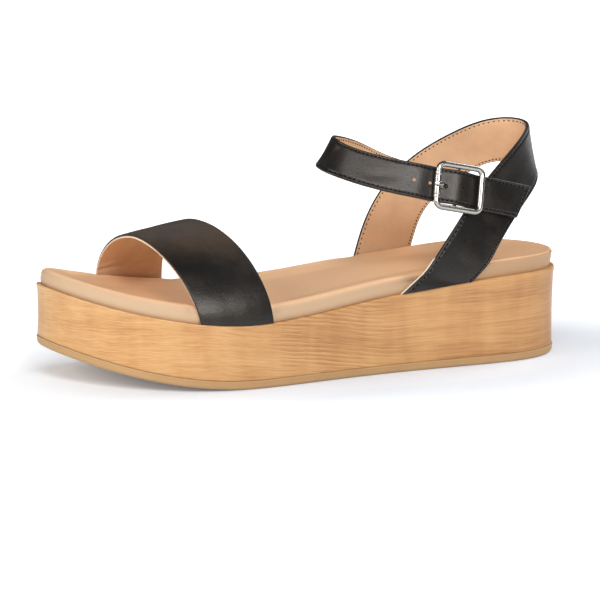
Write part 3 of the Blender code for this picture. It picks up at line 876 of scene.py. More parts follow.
def rubber(graph):
    """Tan rubber with a fine matt skin."""
    tones = settings().colours
    place = graph.place()
    cloud = graph.noise(place, 0.06, 3.0)
    speck = graph.noise(place, 2.2, 2.0)
    tone = graph.mixed(cloud, rgba(tones.rubber, 0.88), rgba(tones.rubber, 1.12))
    graph.bump(speck, 0.3, 0.08)
    return graph.set(base_color=tone, roughness=0.52 + speck * 0.16)


def footbed(graph):
    """Tan footbed leather. Its wall and the foot of its rim are darker than the top, and paler from the
    midfoot to the toe than at the heel; the rim's crest keeps the top's lighter tone as a painted
    highlight, and the tucks by the strap feet get painted shade.
    """
    tones = settings().colours
    place = graph.place()
    x, _, _ = graph.axes(place)
    wall = graph.marked("wall")
    cloud = graph.noise(place, 0.02, 3.0)
    grain = graph.cells(place, 1.5)
    pore = graph.noise(place, 1.1, 4.0)
    heel = 1.0 - x.eased(-95.0, -10.0)
    tone = graph.mixed(heel * 0.6 + cloud.eased(0.35, 0.7) * 0.4, rgba(tones.bed), rgba(tones.bed_dark))
    tone = graph.mixed(pore.eased(0.45, 0.75) * 0.18, tone, rgba(tones.bed_dark))
    side = graph.mixed(x.eased(-90.0, 10.0), rgba(tones.bed_heel), rgba(tones.bed_wall))
    tone = graph.mixed(wall, tone, side)
    # Painted shade where the strap feet tuck the footbed's wall in
    tone = graph.mixed(graph.marked("tuck") * 0.6, tone, rgba(tones.bed_dark, 0.35))
    graph.bump(grain * 0.6 + pore * 0.5, 0.22, 0.08)
    return graph.set(base_color=tone, roughness=0.46 + pore * 0.14, specular_ior_level=0.3)


def black_leather(graph):
    """Smooth black leather with a fine grain, and a painted brown sheen over the crest of the toe strap."""
    tones = settings().colours
    place = graph.place()
    x, _, z = graph.axes(place)
    cloud = graph.noise(place, 0.07, 4.0, 0.6)
    grain = graph.cells(place, 1.7)
    pore = graph.noise(place, 0.9, 4.0, 0.6)
    swell = graph.noise(place, 0.16, 3.0, 0.5)
    # Painted sheen: a brown tone over the toe strap's crest, where the leather catches light
    crest_sheen = z.eased(53.0, 66.0) * x.eased(28.0, 36.0)
    tone = graph.mixed(cloud.eased(0.42, 0.72), rgba(tones.leather), rgba(tones.leather_worn))
    tone = graph.mixed(crest_sheen * (0.55 + cloud.eased(0.35, 0.65) * 0.45), tone, rgba(tones.leather_crest))
    graph.bump(grain * 0.7 + pore * 0.8 + swell * 2.4, 0.55, 0.11)
    return graph.set(
        base_color=tone, roughness=0.22 + cloud * 0.12 + pore * 0.12 + crest_sheen * 0.12,
        specular_ior_level=0.45, specular_tint=(1.0, 0.93, 0.87, 1.0))


def lining_leather(graph):
    """Tan lining leather with open pores."""
    tones = settings().colours
    place = graph.place()
    cloud = graph.noise(place, 0.05, 4.0, 0.6)
    pore = graph.noise(place, 1.7, 4.0, 0.6)
    tone = graph.mixed(cloud.eased(0.35, 0.7), rgba(tones.lining), rgba(tones.lining, 0.82))
    tone = graph.mixed(pore.eased(0.5, 0.8) * 0.25, tone, rgba(tones.lining, 0.6))
    tone = graph.mixed(graph.marked("edge") * 0.9, tone, rgba(tones.raw_edge))
    graph.bump(pore, 0.35, 0.10)
    return graph.set(base_color=tone, roughness=0.58 + pore * 0.14)


def raw_leather(graph):
    """Pale cut leather inside a punched hole."""
    tones = settings().colours
    pore = graph.noise(graph.place(), 2.5, 3.0)
    tone = graph.mixed(pore, rgba(tones.raw_edge, 0.8), rgba(tones.raw_edge))
    return graph.set(base_color=tone, roughness=0.7)


def black_thread(graph):
    """Waxed black thread."""
    tones = settings().colours
    twist = graph.noise(graph.place(), 6.0, 2.0)
    tone = graph.mixed(twist, rgba(tones.thread, 0.7), rgba(tones.thread, 1.6))
    graph.bump(twist, 0.5, 0.08)
    return graph.set(base_color=tone, roughness=0.55 + twist * 0.2, specular_ior_level=0.12)


def silver_metal(graph):
    """Polished silver-coloured metal with faint handling marks."""
    tones = settings().colours
    place = graph.place()
    haze = graph.noise(place, 0.5, 4.0, 0.65)
    scratch = graph.noise(graph.stretched(place, (6.0, 0.6, 6.0)), 1.0, 3.0)
    tone = graph.mixed(haze, rgba(tones.metal, 0.94), rgba(tones.metal, 1.04))
    graph.bump(scratch, 0.04, 0.02)
    return graph.set(base_color=tone, metallic=1.0, roughness=0.19 + haze * 0.08)


def pale_floor(graph):
    """A white sweep that stays even into the distance; its glow is painted light, faint and bluish by
    the shoe so that the shadows there show cool.
    """
    stage = settings().stage
    shift, factors = (32.0, 0.0, 0.0), (1 / 134, 1 / 85, 0.0)
    place = graph.node("ShaderNodeVectorMath", {"operation": "ADD"}, {0: graph.place(), 1: shift})
    place = graph.stretched(place, factors)
    away = graph.node("ShaderNodeVectorMath", {"operation": "LENGTH"}, {0: place}, "Value")
    # Painted light: the floor's glow is faint and bluish by the shoe, where the shadows fall, and white
    # further off
    near = (stage.glow * 0.8, stage.glow, stage.glow * 1.25, 1.0)
    glow = graph.mixed(away.eased(0.75, 1.55), near, (0.45, 0.45, 0.45, 1.0))
    glow = graph.mixed(away.eased(2.0, 6.0), glow, (1.0, 1.0, 1.0, 1.0))
    return graph.set(
        base_color=rgba(stage.floor), roughness=0.9, emission_color=glow, emission_strength=1.0)


# Sole

def layer(name, wall, bottom, top, columns, relief=None):
    """A layer of the sole between two heights, with the levels of its side wall."""
    rings = []
    for level in wall:
        plan = inset_edge(level.inset_mm * MM)
        x = plan[:, 0]
        height = bottom(x) + level.rise * (top(x) - bottom(x))
        rings.append(np.column_stack((plan, height)))
    return capped_rings(name, rings, columns, relief)


def tread_relief(x, y, margin):
    """Wavy ribs of the underside inside a plain border."""
    sole = settings().sole
    wave_height, wave_run = 1.2 * MM, 6 * MM
    wave = np.sin(y / wave_run) * wave_height
    rib = smooth_step(0.5 + 0.9 * np.cos(2 * math.pi * (x + wave) / sole.tread_pitch))
    inside = smooth_step(margin, sole.tread_border, sole.tread_border + 1.5 * MM)
    past_heel = smooth_step(x, 8 * MM, 11 * MM)
    before_toe = smooth_step(sole.length - x, 10 * MM, 13 * MM)
    return sole.tread_depth * rib * inside * past_heel * before_toe


def tuck_depth():
    """How far the strap feet press the footbed's wall in, at each plan point."""
    sole = settings().sole
    edge = sole_edge()
    depth = np.zeros(len(edge))
    order = np.arange(len(edge))
    for tuck in TUCKS:
        on_side = order <= sole.steps if tuck.side == "lateral" else order >= sole.steps
        away = (edge[:, 0] / MM - tuck.at_mm) / tuck.reach_mm
        depth += tuck.depth_mm * MM * np.exp(-away ** 2) * on_side
    return depth


BedPlan = namedtuple("BedPlan", "share heel rim lean tuck")
BedLevel = namedtuple("BedLevel", "inset rise side")
TUCK_SINK = 0.3
DEEPEST_TUCK = max(tuck.depth_mm for tuck in TUCKS) * MM


def bed_plan():
    """What changes round the footbed, at each plan point."""
    sole = settings().sole
    share = sole_edge()[:, 0] / sole.length
    heel = 1 - smooth_step(share, 0.22, 0.46)
    rim = sole.rim_heel + (sole.rim_toe - sole.rim_heel) * smooth_step(share, 0, 0.5)
    lean = sole.bed_lean * (1 - smooth_step(share, 0.10, 0.30))
    return BedPlan(share, heel, rim, lean, tuck_depth())


def bed_wall(plan):
    """Levels of the footbed's wall, from the platform up to the rim."""
    sole = settings().sole
    levels = []
    for rise in np.linspace(0, 1, 8)[:-1]:
        swell = sole.bed_swell * ((1 - plan.heel) * math.sin(math.pi * rise) - 0.5 * (1 - rise) ** 4)
        inset = sole.bed_inset - plan.lean * rise + plan.tuck * rise ** 1.5 - swell
        levels.append(BedLevel(inset, (sole.bed_rise - plan.rim) * rise, 1.0))
    return levels


def bed_rim(plan):
    """Levels round the footbed's rim, close together over the crease that it has at the heel."""
    sole = settings().sole
    crease_at, crease_width = math.radians(42), math.radians(9)
    # The wall's darker tone gives way to the top's lighter tone between these turns, so the crest shows a
    # painted highlight
    wall_to, top_from = math.radians(20), math.radians(60)
    start = sole.bed_inset - plan.lean + plan.tuck + plan.rim
    levels = []
    for turn in np.radians((0, 9, 18, *range(28, 60, 4), 60, 70, 80, 90)):
        dent = sole.crease * plan.heel * math.exp(-((turn - crease_at) / crease_width) ** 2)
        out = plan.rim - dent
        height = sole.bed_rise - plan.rim + out * math.sin(turn) - plan.tuck * TUCK_SINK
        side = 1 - float(smooth_step(turn, wall_to, top_from))
        levels.append(BedLevel(start - out * math.cos(turn), height, side))
    return levels


def bed_dish(plan):
    """Levels from the rim in: a soft bead, then the dish, which is deeper under the ball."""
    sole = settings().sole
    ball = smooth_step(plan.share, 0.50, 0.68) * (1 - smooth_step(plan.share, 0.925, 0.975))
    dish = sole.dish + (sole.dish_ball - sole.dish) * ball
    start = sole.bed_inset - plan.lean + plan.rim
    width_mm = sole.dish_width / MM
    bead_share, bead_mm = 0.3, 1.6
    levels = []
    for across_mm in np.concatenate((np.arange(0.4, 3.0, 0.4), np.arange(3.0, width_mm + 1.9, 0.9))):
        into = across_mm / (width_mm + 1.8)
        bead = 1 - math.exp(-(across_mm / bead_mm) ** 2)
        bowl = (1 - math.cos(math.pi * min(1, into))) / 2
        drop = dish * (bead_share * bead + (1 - bead_share) * bowl)
        pressed = plan.tuck * (1 - smooth_step(into * 1.6))
        rise = sole.bed_rise - drop - pressed * TUCK_SINK
        levels.append(BedLevel(start + pressed + across_mm * MM, rise, 0.0))
    return levels


def footbed_mesh():
    """The footbed: a wall, a rim with a crease at the heel, and a dish."""
    sole = settings().sole
    plan = bed_plan()
    levels = bed_wall(plan) + bed_rim(plan) + bed_dish(plan)
    rings = []
    tuck_shade = []
    for level in levels:
        edge = inset_edge(level.inset)
        rings.append(np.column_stack((edge, platform_top(edge[:, 0]) + sole.gap + level.rise)))
        # Painted shade: how far the footbed darkens where a strap's foot tucks its wall in, most on the
        # wall
        fold = np.clip(plan.tuck / DEEPEST_TUCK, 0, 1) * smooth_step(level.rise / sole.bed_rise)
        tuck_shade.append(fold * (0.3 + 0.7 * level.side))
    mesh = capped_rings("insole", rings, BED_COLUMNS)
    mark(mesh, "wall", np.repeat([level.side for level in levels], 2 * sole.steps))
    mark(mesh, "tuck", np.concatenate(tuck_shade))
    return mesh


# Straps

def rounded_edge(distance, radius):
    """How far a rounded edge falls away by the distance from it."""
    into = np.clip(radius - distance, 0, radius)
    return radius - np.sqrt(radius ** 2 - into ** 2)


def stitch_groove(distance):
    """Depth of the groove that the stitches lie in, by the distance from the strap's edge."""
    straps = settings().straps
    return straps.groove * np.exp(-((distance - straps.stitch_inset) / GROOVE_WIDTH) ** 2)


def leather_heights(distance, bare):
    """Outer and inner face of a strap's leather by the distance from its edge: it is turned round
    the lining's edge, but not where the edge is bare."""
    straps = settings().straps
    half = straps.wall / 2
    fall = rounded_edge(distance, straps.edge)
    turned = (distance < straps.turned) & ~bare
    inner = np.where(turned, 0.4 * fall - half, straps.lining - half)
    return half - fall - stitch_groove(distance), inner


def lining_heights(distance):
    """Outer and inner face of a strap's lining by the distance from the strap's edge."""
    straps = settings().straps
    half = straps.wall / 2
    fall = rounded_edge(np.clip(distance - straps.turned, 0, None), LINING_EDGE)
    return np.full_like(distance, straps.lining - half), fall + 0.7 * stitch_groove(distance) - half


def crease_heights(rows, along, across, run, width):
    """Height of the soft troughs and ridges of a strap over its face."""
    height = np.zeros(np.broadcast(along, across).shape)
    for row in rows:
        forward = (along - row.along) * run
        sideways = (across - row.across) * width
        turn = math.radians(row.turn_deg)
        long_way = (forward * math.cos(turn) + sideways * math.sin(turn)) / (row.long_mm * MM)
        wide_way = (sideways * math.cos(turn) - forward * math.sin(turn)) / (row.wide_mm * MM)
        height += row.out_mm * MM * np.exp(-long_way ** 2 - wide_way ** 2)
    return height


def toe_sheet(turns, shares):
    """Points and outward directions of the toe strap's outer face: foot to foot, back to front."""
    straps = settings().straps
    turn = np.asarray(turns)[:, None]
    front = np.array(TOE_FRONT)[:, None, None]
    back = np.array(TOE_BACK)[:, None, None]
    edge = ToeEdge(*(back * (1 - shares) + front * shares))
    lateral_x = edge.lateral_x_mm * MM
    medial_x = edge.medial_x_mm * MM
    lateral_y = edge_y(lateral_x, "lateral")
    medial_y = edge_y(medial_x, "medial")
    across = np.cos(turn)
    over = np.clip(np.sin(turn), 0, 1)
    power = 2 / edge.fullness
    reach = np.copysign(np.abs(across) ** power, across)
    y = (lateral_y + medial_y) / 2 + (lateral_y - medial_y) / 2 * reach
    to_medial = (lateral_y - y) / (lateral_y - medial_y)
    x = lateral_x + (medial_x - lateral_x) * to_medial + edge.bow_mm * MM * over
    turned = turn / math.pi
    foot = platform_top(lateral_x) * (1 - turned) + platform_top(medial_x) * turned
    arch = edge.rise_mm * MM * over ** power * (1 - edge.skew * across)
    crown = straps.toe_crown * 4 * np.clip(shares * (1 - shares), 0, 1) * over
    points = np.stack((x, y, foot + straps.foot_gap + arch + crown), axis=-1)
    out = unit(np.cross(np.gradient(points, axis=0), np.gradient(points, axis=1)))
    return points, out


def toe_columns(edge_steps, proud):
    """Shares across the toe strap at each section, close together at its edges and past them where
    they are proud."""
    near = (edge_steps[None, :] - proud) / TOE_WIDTH
    middle = np.linspace(near[:, -1], 1 - near[:, -1], TOE_COLUMNS + 2, axis=1)[:, 1:-1]
    return np.hstack((near, middle, 1 - near[:, ::-1]))


def toe_meshes():
    """The toe strap's leather with turned edges, and the lining that shows as a pale line inside."""
    straps = settings().straps
    seam = straps.toe_wall - straps.lining
    turns = np.linspace(0, math.pi, TOE_SECTIONS)
    along = (turns / math.pi)[:, None]

    shares = toe_columns(EDGE_STEPS[:11], np.zeros_like(along))
    points, out = toe_sheet(turns, shares)
    fall = rounded_edge(np.minimum(shares, 1 - shares) * TOE_WIDTH, TOE_LEATHER_EDGE)
    crease = crease_heights(TOE_CREASES, along, shares, TOE_RUN, TOE_WIDTH)
    outer = points + out * (crease - fall)[..., None]
    inner = points - out * (seam - 0.6 * fall)[..., None]
    leather = solid_between("toe_strap_leather", outer, inner)

    medial = smooth_step(along, 0.30, 0.50)
    proud = (0.20 * medial + 0.05) * MM
    shares = toe_columns(EDGE_STEPS[:9], proud)
    points, out = toe_sheet(turns, shares)
    fall = rounded_edge(np.minimum(shares, 1 - shares) * TOE_WIDTH + proud, TOE_LINING_EDGE)
    crease = crease_heights(TOE_LINING_CREASES, along, shares, TOE_RUN, TOE_WIDTH)
    outer = points - out * (seam + LINING_GAP + fall)[..., None]
    inner = points - out * (straps.toe_wall - fall + crease)[..., None]
    lining = solid_between("toe_strap_lining", outer, inner)
    on_edge = fall > 0.01 * MM
    mark(lining, "edge", np.tile((on_edge * medial).ravel(), 2))
    return leather, lining


StrapPath = namedtuple("StrapPath", "run place along across out width slant")


def strap_points(rows):
    """Middle points of a strap's rows."""
    return np.column_stack([column(rows, name) * MM for name in ("x_mm", "y_mm", "z_mm")])


def distances(points):
    """Distance from the first of the points to each of them, along their chain."""
    return np.concatenate(([0], np.cumsum(np.linalg.norm(np.diff(points, axis=0), axis=1))))


def strap_length(rows):
    """Length of a strap along its rows."""
    return distances(strap_points(rows))[-1]


def strap_path(rows, places):
    """Sections of a strap at distances along it: middles, directions, widths and slants."""
    points = strap_points(rows)
    knots = distances(points)
    step = 0.1 * MM

    def through(at):
        return np.column_stack([spline(knots, points[:, k], at) for k in range(3)])

    face = np.radians(spline(knots, column(rows, "face_deg"), places))
    lean = np.radians(spline(knots, column(rows, "lean_deg"), places))
    along = unit(through(places + step) - through(places - step))
    facing = np.column_stack((np.cos(face) * np.cos(lean), np.sin(face) * np.cos(lean), np.sin(lean)))
    across = unit(np.cross(facing, along))
    out = np.cross(along, across)
    width = spline(knots, column(rows, "width_mm"), places) * MM
    slant = spline(knots, column(rows, "slant_mm"), places) * MM
    return StrapPath(places, through(places), along, across, out, width, slant)


def buckle_at():
    """Distance along the ankle strap to the middle of the buckle."""
    return strap_length(ANKLE_STRAP) - settings().buckle.from_tail


def weave(run):
    """How the strap leaves its even run: under the outer bars and over the centre bar."""
    buckle = settings().buckle
    reach = np.abs(run - buckle_at())
    between = np.cos(np.clip(reach / buckle.half_length, 0, 1) * math.pi / 2) ** 2
    recovered = smooth_step((reach - buckle.half_length) / buckle.recovery)
    return between * (buckle.bulge + buckle.sink) - buckle.sink * (1 - recovered)


def heel_path(places):
    """The heel strap's path."""
    return strap_path(HEEL_STRAP, places)


def ankle_path(places):
    """The ankle strap's path, woven through the buckle."""
    path = strap_path(ANKLE_STRAP, places)
    return path._replace(place=path.place + path.out * weave(path.run)[:, None])


def strap_offsets(width):
    """Distances across a strap from its middle, close together at the edges, for each section."""
    rows = []
    for half in width / 2:
        middle = np.linspace(EDGE_STEPS[-1] - half, half - EDGE_STEPS[-1], MIDDLE_STEPS + 2)[1:-1]
        rows.append(np.concatenate((EDGE_STEPS - half, middle, half - EDGE_STEPS[::-1])))
    return np.array(rows)


def strap_sheet(path, offset, height):
    """Points of a strap at distances across it and heights out of its middle sheet."""
    slide = (path.slant / path.width)[:, None] * offset
    points = path.place[:, None] + path.across[:, None] * offset[..., None]
    return points + path.along[:, None] * slide[..., None] + path.out[:, None] * height[..., None]


def strap_stations(rows, count):
    """Distances along a strap, close together at its ends."""
    total = strap_length(rows)
    middle = np.linspace(EDGE_STEPS[-1], total - EDGE_STEPS[-1], count)[1:-1]
    return np.concatenate((EDGE_STEPS, middle, total - EDGE_STEPS[::-1]))


def strap_meshes(name, path, creases, bare_run):
    """Leather and lining of a strap along its path: the lining is bare at the front edge of its
    first run, and stands a little proud there."""
    total = path.run[-1]
    offset = strap_offsets(path.width)
    to_side = path.width[:, None] / 2 - np.abs(offset)
    to_end = np.minimum(path.run, total - path.run)[:, None]
    distance = np.minimum(to_side, to_end)
    across = offset / path.width[:, None] + 0.5
    crease = crease_heights(creases, (path.run / total)[:, None], across, total, CREASE_SPAN)
    crease = crease * smooth_step(distance, 1.5 * MM, 4.5 * MM)
    bare = (path.run < bare_run)[:, None] & (offset > 0)
    outer, inner = leather_heights(distance, bare)
    leather = solid_between(
        name + "_leather", strap_sheet(path, offset, outer + crease), strap_sheet(path, offset, inner))

    keep = np.flatnonzero(EDGE_STEPS > settings().straps.turned)[0]
    rows = slice(keep, -keep)
    columns = slice(keep, -1 if bare_run else -keep)
    lined = StrapPath(*(values[rows] for values in path))
    offset, distance, bare, crease = (grid[rows, columns] for grid in (offset, distance, bare, crease))
    proud = 0.95 * np.clip(BARE_EDGE - distance, 0, None)
    offset = offset + np.where(bare, proud, 0)
    outer, inner = lining_heights(distance)
    lining = solid_between(
        name + "_lining", strap_sheet(lined, offset, outer - LINING_GAP),
        strap_sheet(lined, offset, inner + 0.6 * crease))
    mark(lining, "edge", np.tile((bare & (distance < BARE_EDGE)).ravel(), 2))
    return leather, lining


def bed_cutters():
    """Cutter of everything below the platform's top and the gap that the strap feet keep to it."""
    margin = -15 * MM
    plan = inset_edge(margin)
    floor = np.column_stack((plan, np.full(len(plan), margin)))
    top = np.column_stack((plan, platform_top(plan[:, 0]) + settings().sole.gap))
    return [capped_rings("bed", (floor, top), columns=2)]


def buckle_matrix():
    """Frame of the buckle on the strap's even run: x to the heel, y up the strap, z out."""
    path = strap_path(ANKLE_STRAP, np.array([buckle_at()]))
    axes = np.column_stack((path.along[0], path.across[0], path.out[0]))
    matrix = Matrix(axes.tolist()).to_4x4()
    matrix.translation = Vector(path.place[0])
    return np.array(matrix @ Matrix.Rotation(settings().buckle.turn, 4, "Z"))


def buckle_axes():
    """The directions of the buckle's frame: to the heel, up the strap and out."""
    return buckle_matrix()[:3, :3].T


def on_buckle(points):
    """Points of the buckle's frame in the maker's frame."""
    return np.asarray(points, float) @ buckle_axes() + buckle_matrix()[:3, 3]


def hole_cutters():
    """Cutters of the open holes along the ankle strap and of the hole that the prong stands in: the
    holes in front of the buckle go through and show the raw edge; the others show black leather on
    their cut faces, painted shade."""
    straps = settings().straps
    buckle = settings().buckle
    cutters = []
    for count in OPEN_HOLES:
        through = count > 0
        path = ankle_path(np.array([buckle_at() - buckle.hole_row - count * straps.hole_pitch]))
        heights = (-straps.wall if through else BLIND_HOLE_FLOOR, straps.wall)
        ends = [path.place[0] + path.out[0] * height for height in heights]
        hole = sweep(ends, straps.hole, straps.hole, path.across[0], sides=24)
        cutters.append(mesh_from("open_hole", *hole))
        # A hole that stops short shows black leather on its cut faces: painted shade in place of the pale
        # raw edge
        cutters[-1].materials.append(finish(raw_leather if through else black_leather))
    _, up, _ = buckle_axes()
    ends = on_buckle([(-buckle.prong_hole, 0, height * MM) for height in (-4, 4)])
    slot = sweep(ends, PRONG_HOLE_HALF_WIDTH, PRONG_HOLE_HALF_LENGTH, up, sides=24)
    cutters.append(mesh_from("prong_hole", *slot))
    # Painted shade: the prong's hole shows black leather on its cut faces
    cutters[-1].materials.append(finish(black_leather))
    return cutters


def tab_mesh():
    """The buckle tab: one strip folded round the centre bar, both layers back to the heel strap."""
    straps = settings().straps
    buckle = settings().buckle
    layer_wall = straps.tab_wall / 2
    half_mm = layer_wall / MM / 2
    runs = np.linspace(TAB_DEPTH[-1].run_mm, 2.0, 30)
    depth = spline(column(TAB_DEPTH, "run_mm"), column(TAB_DEPTH, "depth_mm"), runs)
    apart = half_mm + 0.04
    radius = buckle.bar / MM + half_mm + 0.15
    turn = np.radians(np.linspace(-60, 60, 13))
    fold = buckle.bar_depth / MM - radius * np.sin(turn)
    run = np.concatenate((runs, -radius * np.cos(turn), runs[::-1]))
    deep = np.concatenate((depth + apart, fold, depth[::-1] - apart))
    path = strap_path(ANKLE_STRAP, buckle_at() + run * MM)
    middle = path.place - path.out * (deep * MM)[:, None]
    along = unit(np.gradient(middle, axis=0))
    out = unit(np.cross(along, path.across))
    width = np.full(len(run), straps.tab_width)
    strip = StrapPath(distances(middle), middle, along, path.across, out, width, np.zeros(len(run)))
    offset = strap_offsets(width)
    outer = layer_wall / 2 - rounded_edge(width[:, None] / 2 - np.abs(offset), TAB_EDGE)
    sheets = (strap_sheet(strip, offset, height) for height in (outer, -outer))
    return solid_between("buckle_tab", *sheets)


def slot_cutters():
    """Cutter of the prong's slot in the fold of the tab."""
    half_width, half_depth = 1.6 * MM, 5 * MM
    ends = on_buckle([(front * MM, 0, -settings().buckle.bar_depth) for front in (-6, 3.4)])
    _, up, _ = buckle_axes()
    return [mesh_from("tab_slot", *sweep(ends, half_width, half_depth, up, power=0.2))]


# Stitches

def edge_stitches(path_at, total, height):
    """Middles, runs and outward directions of the stitches along both edges of a strap's face."""
    straps = settings().straps
    inset = straps.stitch_inset
    pitch = straps.stitch_pitch
    count = int((total - 2 * inset) / pitch)
    path = path_at((np.arange(count) + 0.5) * pitch + (total - count * pitch) / 2)
    rows = []
    for side in (-1, 1):
        offset = side * (path.width / 2 - inset)
        place = strap_sheet(path, offset[:, None], np.full((count, 1), height))[:, 0]
        way = unit(np.gradient(place, axis=0))
        keep = place[:, 2] > platform_top(place[:, 0]) + LOWEST_STITCH
        rows.append((place[keep], way[keep], path.out[keep]))
    return [np.vstack(parts) for parts in zip(*rows)]


def end_stitches(path_at, run, height):
    """Middles, runs and outward directions of a row of stitches straight across a strap."""
    straps = settings().straps
    pitch = straps.stitch_pitch
    path = path_at(np.array([run]))
    count = int((path.width[0] - 2 * straps.stitch_inset) / pitch)
    offset = (np.arange(count) + 0.5) * pitch - count * pitch / 2
    place = strap_sheet(path, offset[None, :], np.full((1, count), height))[0]
    way = unit(np.gradient(place, axis=0))
    return [place, way, np.repeat(path.out, count, axis=0)]


def stitch_mesh(name, groups, stitch_length):
    """One mesh of like stitches: short rounded lengths of thread."""
    thread = settings().straps.thread
    place, along, out = (np.vstack(parts) for parts in zip(*groups))
    across = np.cross(along, out)
    rings, sides = 7, 8
    share = np.linspace(-1, 1, rings)
    swell = np.sqrt(np.clip(1 - np.abs(share) ** 3, 0.06, 1))
    turn = np.linspace(0, 2 * math.pi, sides, endpoint=False)
    forward = np.repeat(share, sides) * stitch_length / 2
    sideways = np.outer(swell, np.cos(turn)).ravel() * thread
    outward = np.outer(swell, np.sin(turn)).ravel() * thread
    points = place[:, None]
    for way, far in ((along, forward), (across, sideways), (out, outward)):
        points = points + way[:, None] * far[None, :, None]
    ids = np.arange(rings * sides).reshape(rings, sides)
    cells = grid_faces(np.column_stack((ids, ids[:, :1])))
    cells += [ids[0].tolist(), ids[-1][::-1].tolist()]
    return mesh_from(name, *joined((stitch, cells) for stitch in points))


# Buckle

def frame_line():
    """Middle line of the buckle's rounded square."""
    buckle = settings().buckle
    points = []
    for quarter in range(4):
        start = quarter * math.pi / 2
        middle = start + math.pi / 4
        centre_x = (buckle.half_length - buckle.corner) * math.copysign(1, math.cos(middle))
        centre_y = (buckle.half_width - buckle.corner) * math.copysign(1, math.sin(middle))
        for turn in np.linspace(start, start + math.pi / 2, 17):
            x = centre_x + buckle.corner * math.cos(turn)
            y = centre_y + buckle.corner * math.sin(turn)
            points.append((x, y, buckle.lift))
    return points


def bar_line():
    """Middle line of the centre bar: a leg down from each side of the frame, then across."""
    buckle = settings().buckle
    shoulder, bend = 1.6 * MM, 1.2 * MM
    leg = [(0, buckle.half_width, buckle.lift), (0, buckle.leg, buckle.lift - shoulder)]
    for turn in np.linspace(0, math.pi / 2, 7):
        y = buckle.leg - bend * (1 - math.cos(turn))
        leg.append((0, y, bend * (1 - math.sin(turn)) - buckle.bar_depth))
    return leg + [(x, -y, z) for x, y, z in reversed(leg)]


def roller_profile():
    """Radius of the sleeve along the front bar: rolled ends and a seam near each of them."""
    buckle = settings().buckle
    half = buckle.roller_length / 2
    rows = [(-half, buckle.wire)]
    for start, steps in ((-half, SLEEVE_END), (SEAM_FROM_END - half, SLEEVE_SEAM)):
        rows += [(start + row.past_mm * MM, buckle.roller - row.drop_mm * MM) for row in steps]
    return rows + [(-y, radius) for y, radius in reversed(rows)]


def prong_line():
    """Middle line of the prong: an eye round the centre bar, then up through the strap."""
    buckle = settings().buckle
    turns = np.radians(np.linspace(60, 305, 22))
    eye = np.column_stack((np.cos(turns), np.sin(turns))) * buckle.prong_eye - (0, buckle.bar_depth)
    shank = np.array(PRONG_SHANK) * MM
    knots = np.vstack((eye[-2:], shank))
    places = distances(knots)
    at = np.linspace(places[1], places[-1], 31)[1:]
    smooth = np.column_stack([spline(places, knots[:, k], at) for k in range(2)])
    return [(-front, 0, out) for front, out in np.vstack((eye, smooth))]


# Operators

class SANDAL_OT_outsole(Operator):
    """Make the tread sole under the platform"""

    bl_idname = "sandal.outsole"
    bl_label = "Outsole"

    def execute(self, context):
        mesh = layer("outsole_tread", OUTSOLE_WALL, tread_height, outsole_top, TREAD_COLUMNS, tread_relief)
        piece("outsole_tread", mesh, rubber, "outsole")
        return {"FINISHED"}


class SANDAL_OT_platform(Operator):
    """Make the wood platform with its lip"""

    bl_idname = "sandal.platform"
    bl_label = "Platform"

    def execute(self, context):
        mesh = layer("platform_block", PLATFORM_WALL, platform_bottom, platform_top, PLATFORM_COLUMNS)
        piece("platform_block", mesh, wood, "platform")
        return {"FINISHED"}


class SANDAL_OT_footbed(Operator):
    """Make the padded footbed"""

    bl_idname = "sandal.footbed"
    bl_label = "Footbed"

    def execute(self, context):
        made = piece("footbed", footbed_mesh(), footbed, "insole")
        return {"FINISHED"}


class SANDAL_OT_toe_strap(Operator):
    """Make the toe strap and its lining"""

    bl_idname = "sandal.toe_strap"
    bl_label = "Toe strap"

    def execute(self, context):
        leather, lining = toe_meshes()
        piece("toe_strap_leather", leather, black_leather, "toe_strap")
        piece("toe_strap_lining", lining, lining_leather, "toe_strap")
        return {"FINISHED"}


class SANDAL_OT_heel_sling(Operator):
    """Make the heel strap, the ankle strap and the buckle tab"""

    bl_idname = "sandal.heel_sling"
    bl_label = "Heel sling"

    def execute(self, context):
        bare_run = settings().straps.bare_run
        heel = heel_path(strap_stations(HEEL_STRAP, HEEL_SECTIONS))
        ankle = ankle_path(strap_stations(ANKLE_STRAP, ANKLE_SECTIONS))
        for name, path, creases, bare, cutters in (
                ("heel_strap", heel, HEEL_CREASES, bare_run, bed_cutters),
                ("ankle_strap", ankle, ANKLE_CREASES, 0, hole_cutters)):
            leather, lining = strap_meshes(name, path, creases, bare)
            cut(piece(name + "_leather", leather, black_leather, "heel_sling"), cutters())
            cut(piece(name + "_lining", lining, lining_leather, "heel_sling"), cutters())
        cut(piece("buckle_tab", tab_mesh(), black_leather, "heel_sling"), slot_cutters(), folded=True)
        return {"FINISHED"}


class SANDAL_OT_stitches(Operator):
    """Make the stitches along the heel and ankle straps"""

    bl_idname = "sandal.stitches"
    bl_label = "Stitches"

    def execute(self, context):
        straps = settings().straps
        face = straps.wall / 2 - straps.groove + THREAD_LIFT
        for name, path_at, rows in (("heel", heel_path, HEEL_STRAP), ("ankle", ankle_path, ANKLE_STRAP)):
            total = strap_length(rows)
            groups = [edge_stitches(path_at, total, face)]
            if name == "ankle":
                for run in (total - straps.stitch_inset, straps.stitch_inset):
                    groups.append(end_stitches(path_at, run, face))
            mesh = stitch_mesh(name + "_stitches", groups, straps.stitch_length)
            piece(name + "_stitches", mesh, black_thread, "heel_sling")
            groups = [edge_stitches(path_at, total, -face)]
            mesh = stitch_mesh(name + "_lining_stitches", groups, straps.lining_stitch)
            piece(name + "_lining_stitches", mesh, black_thread, "heel_sling")
        return {"FINISHED"}


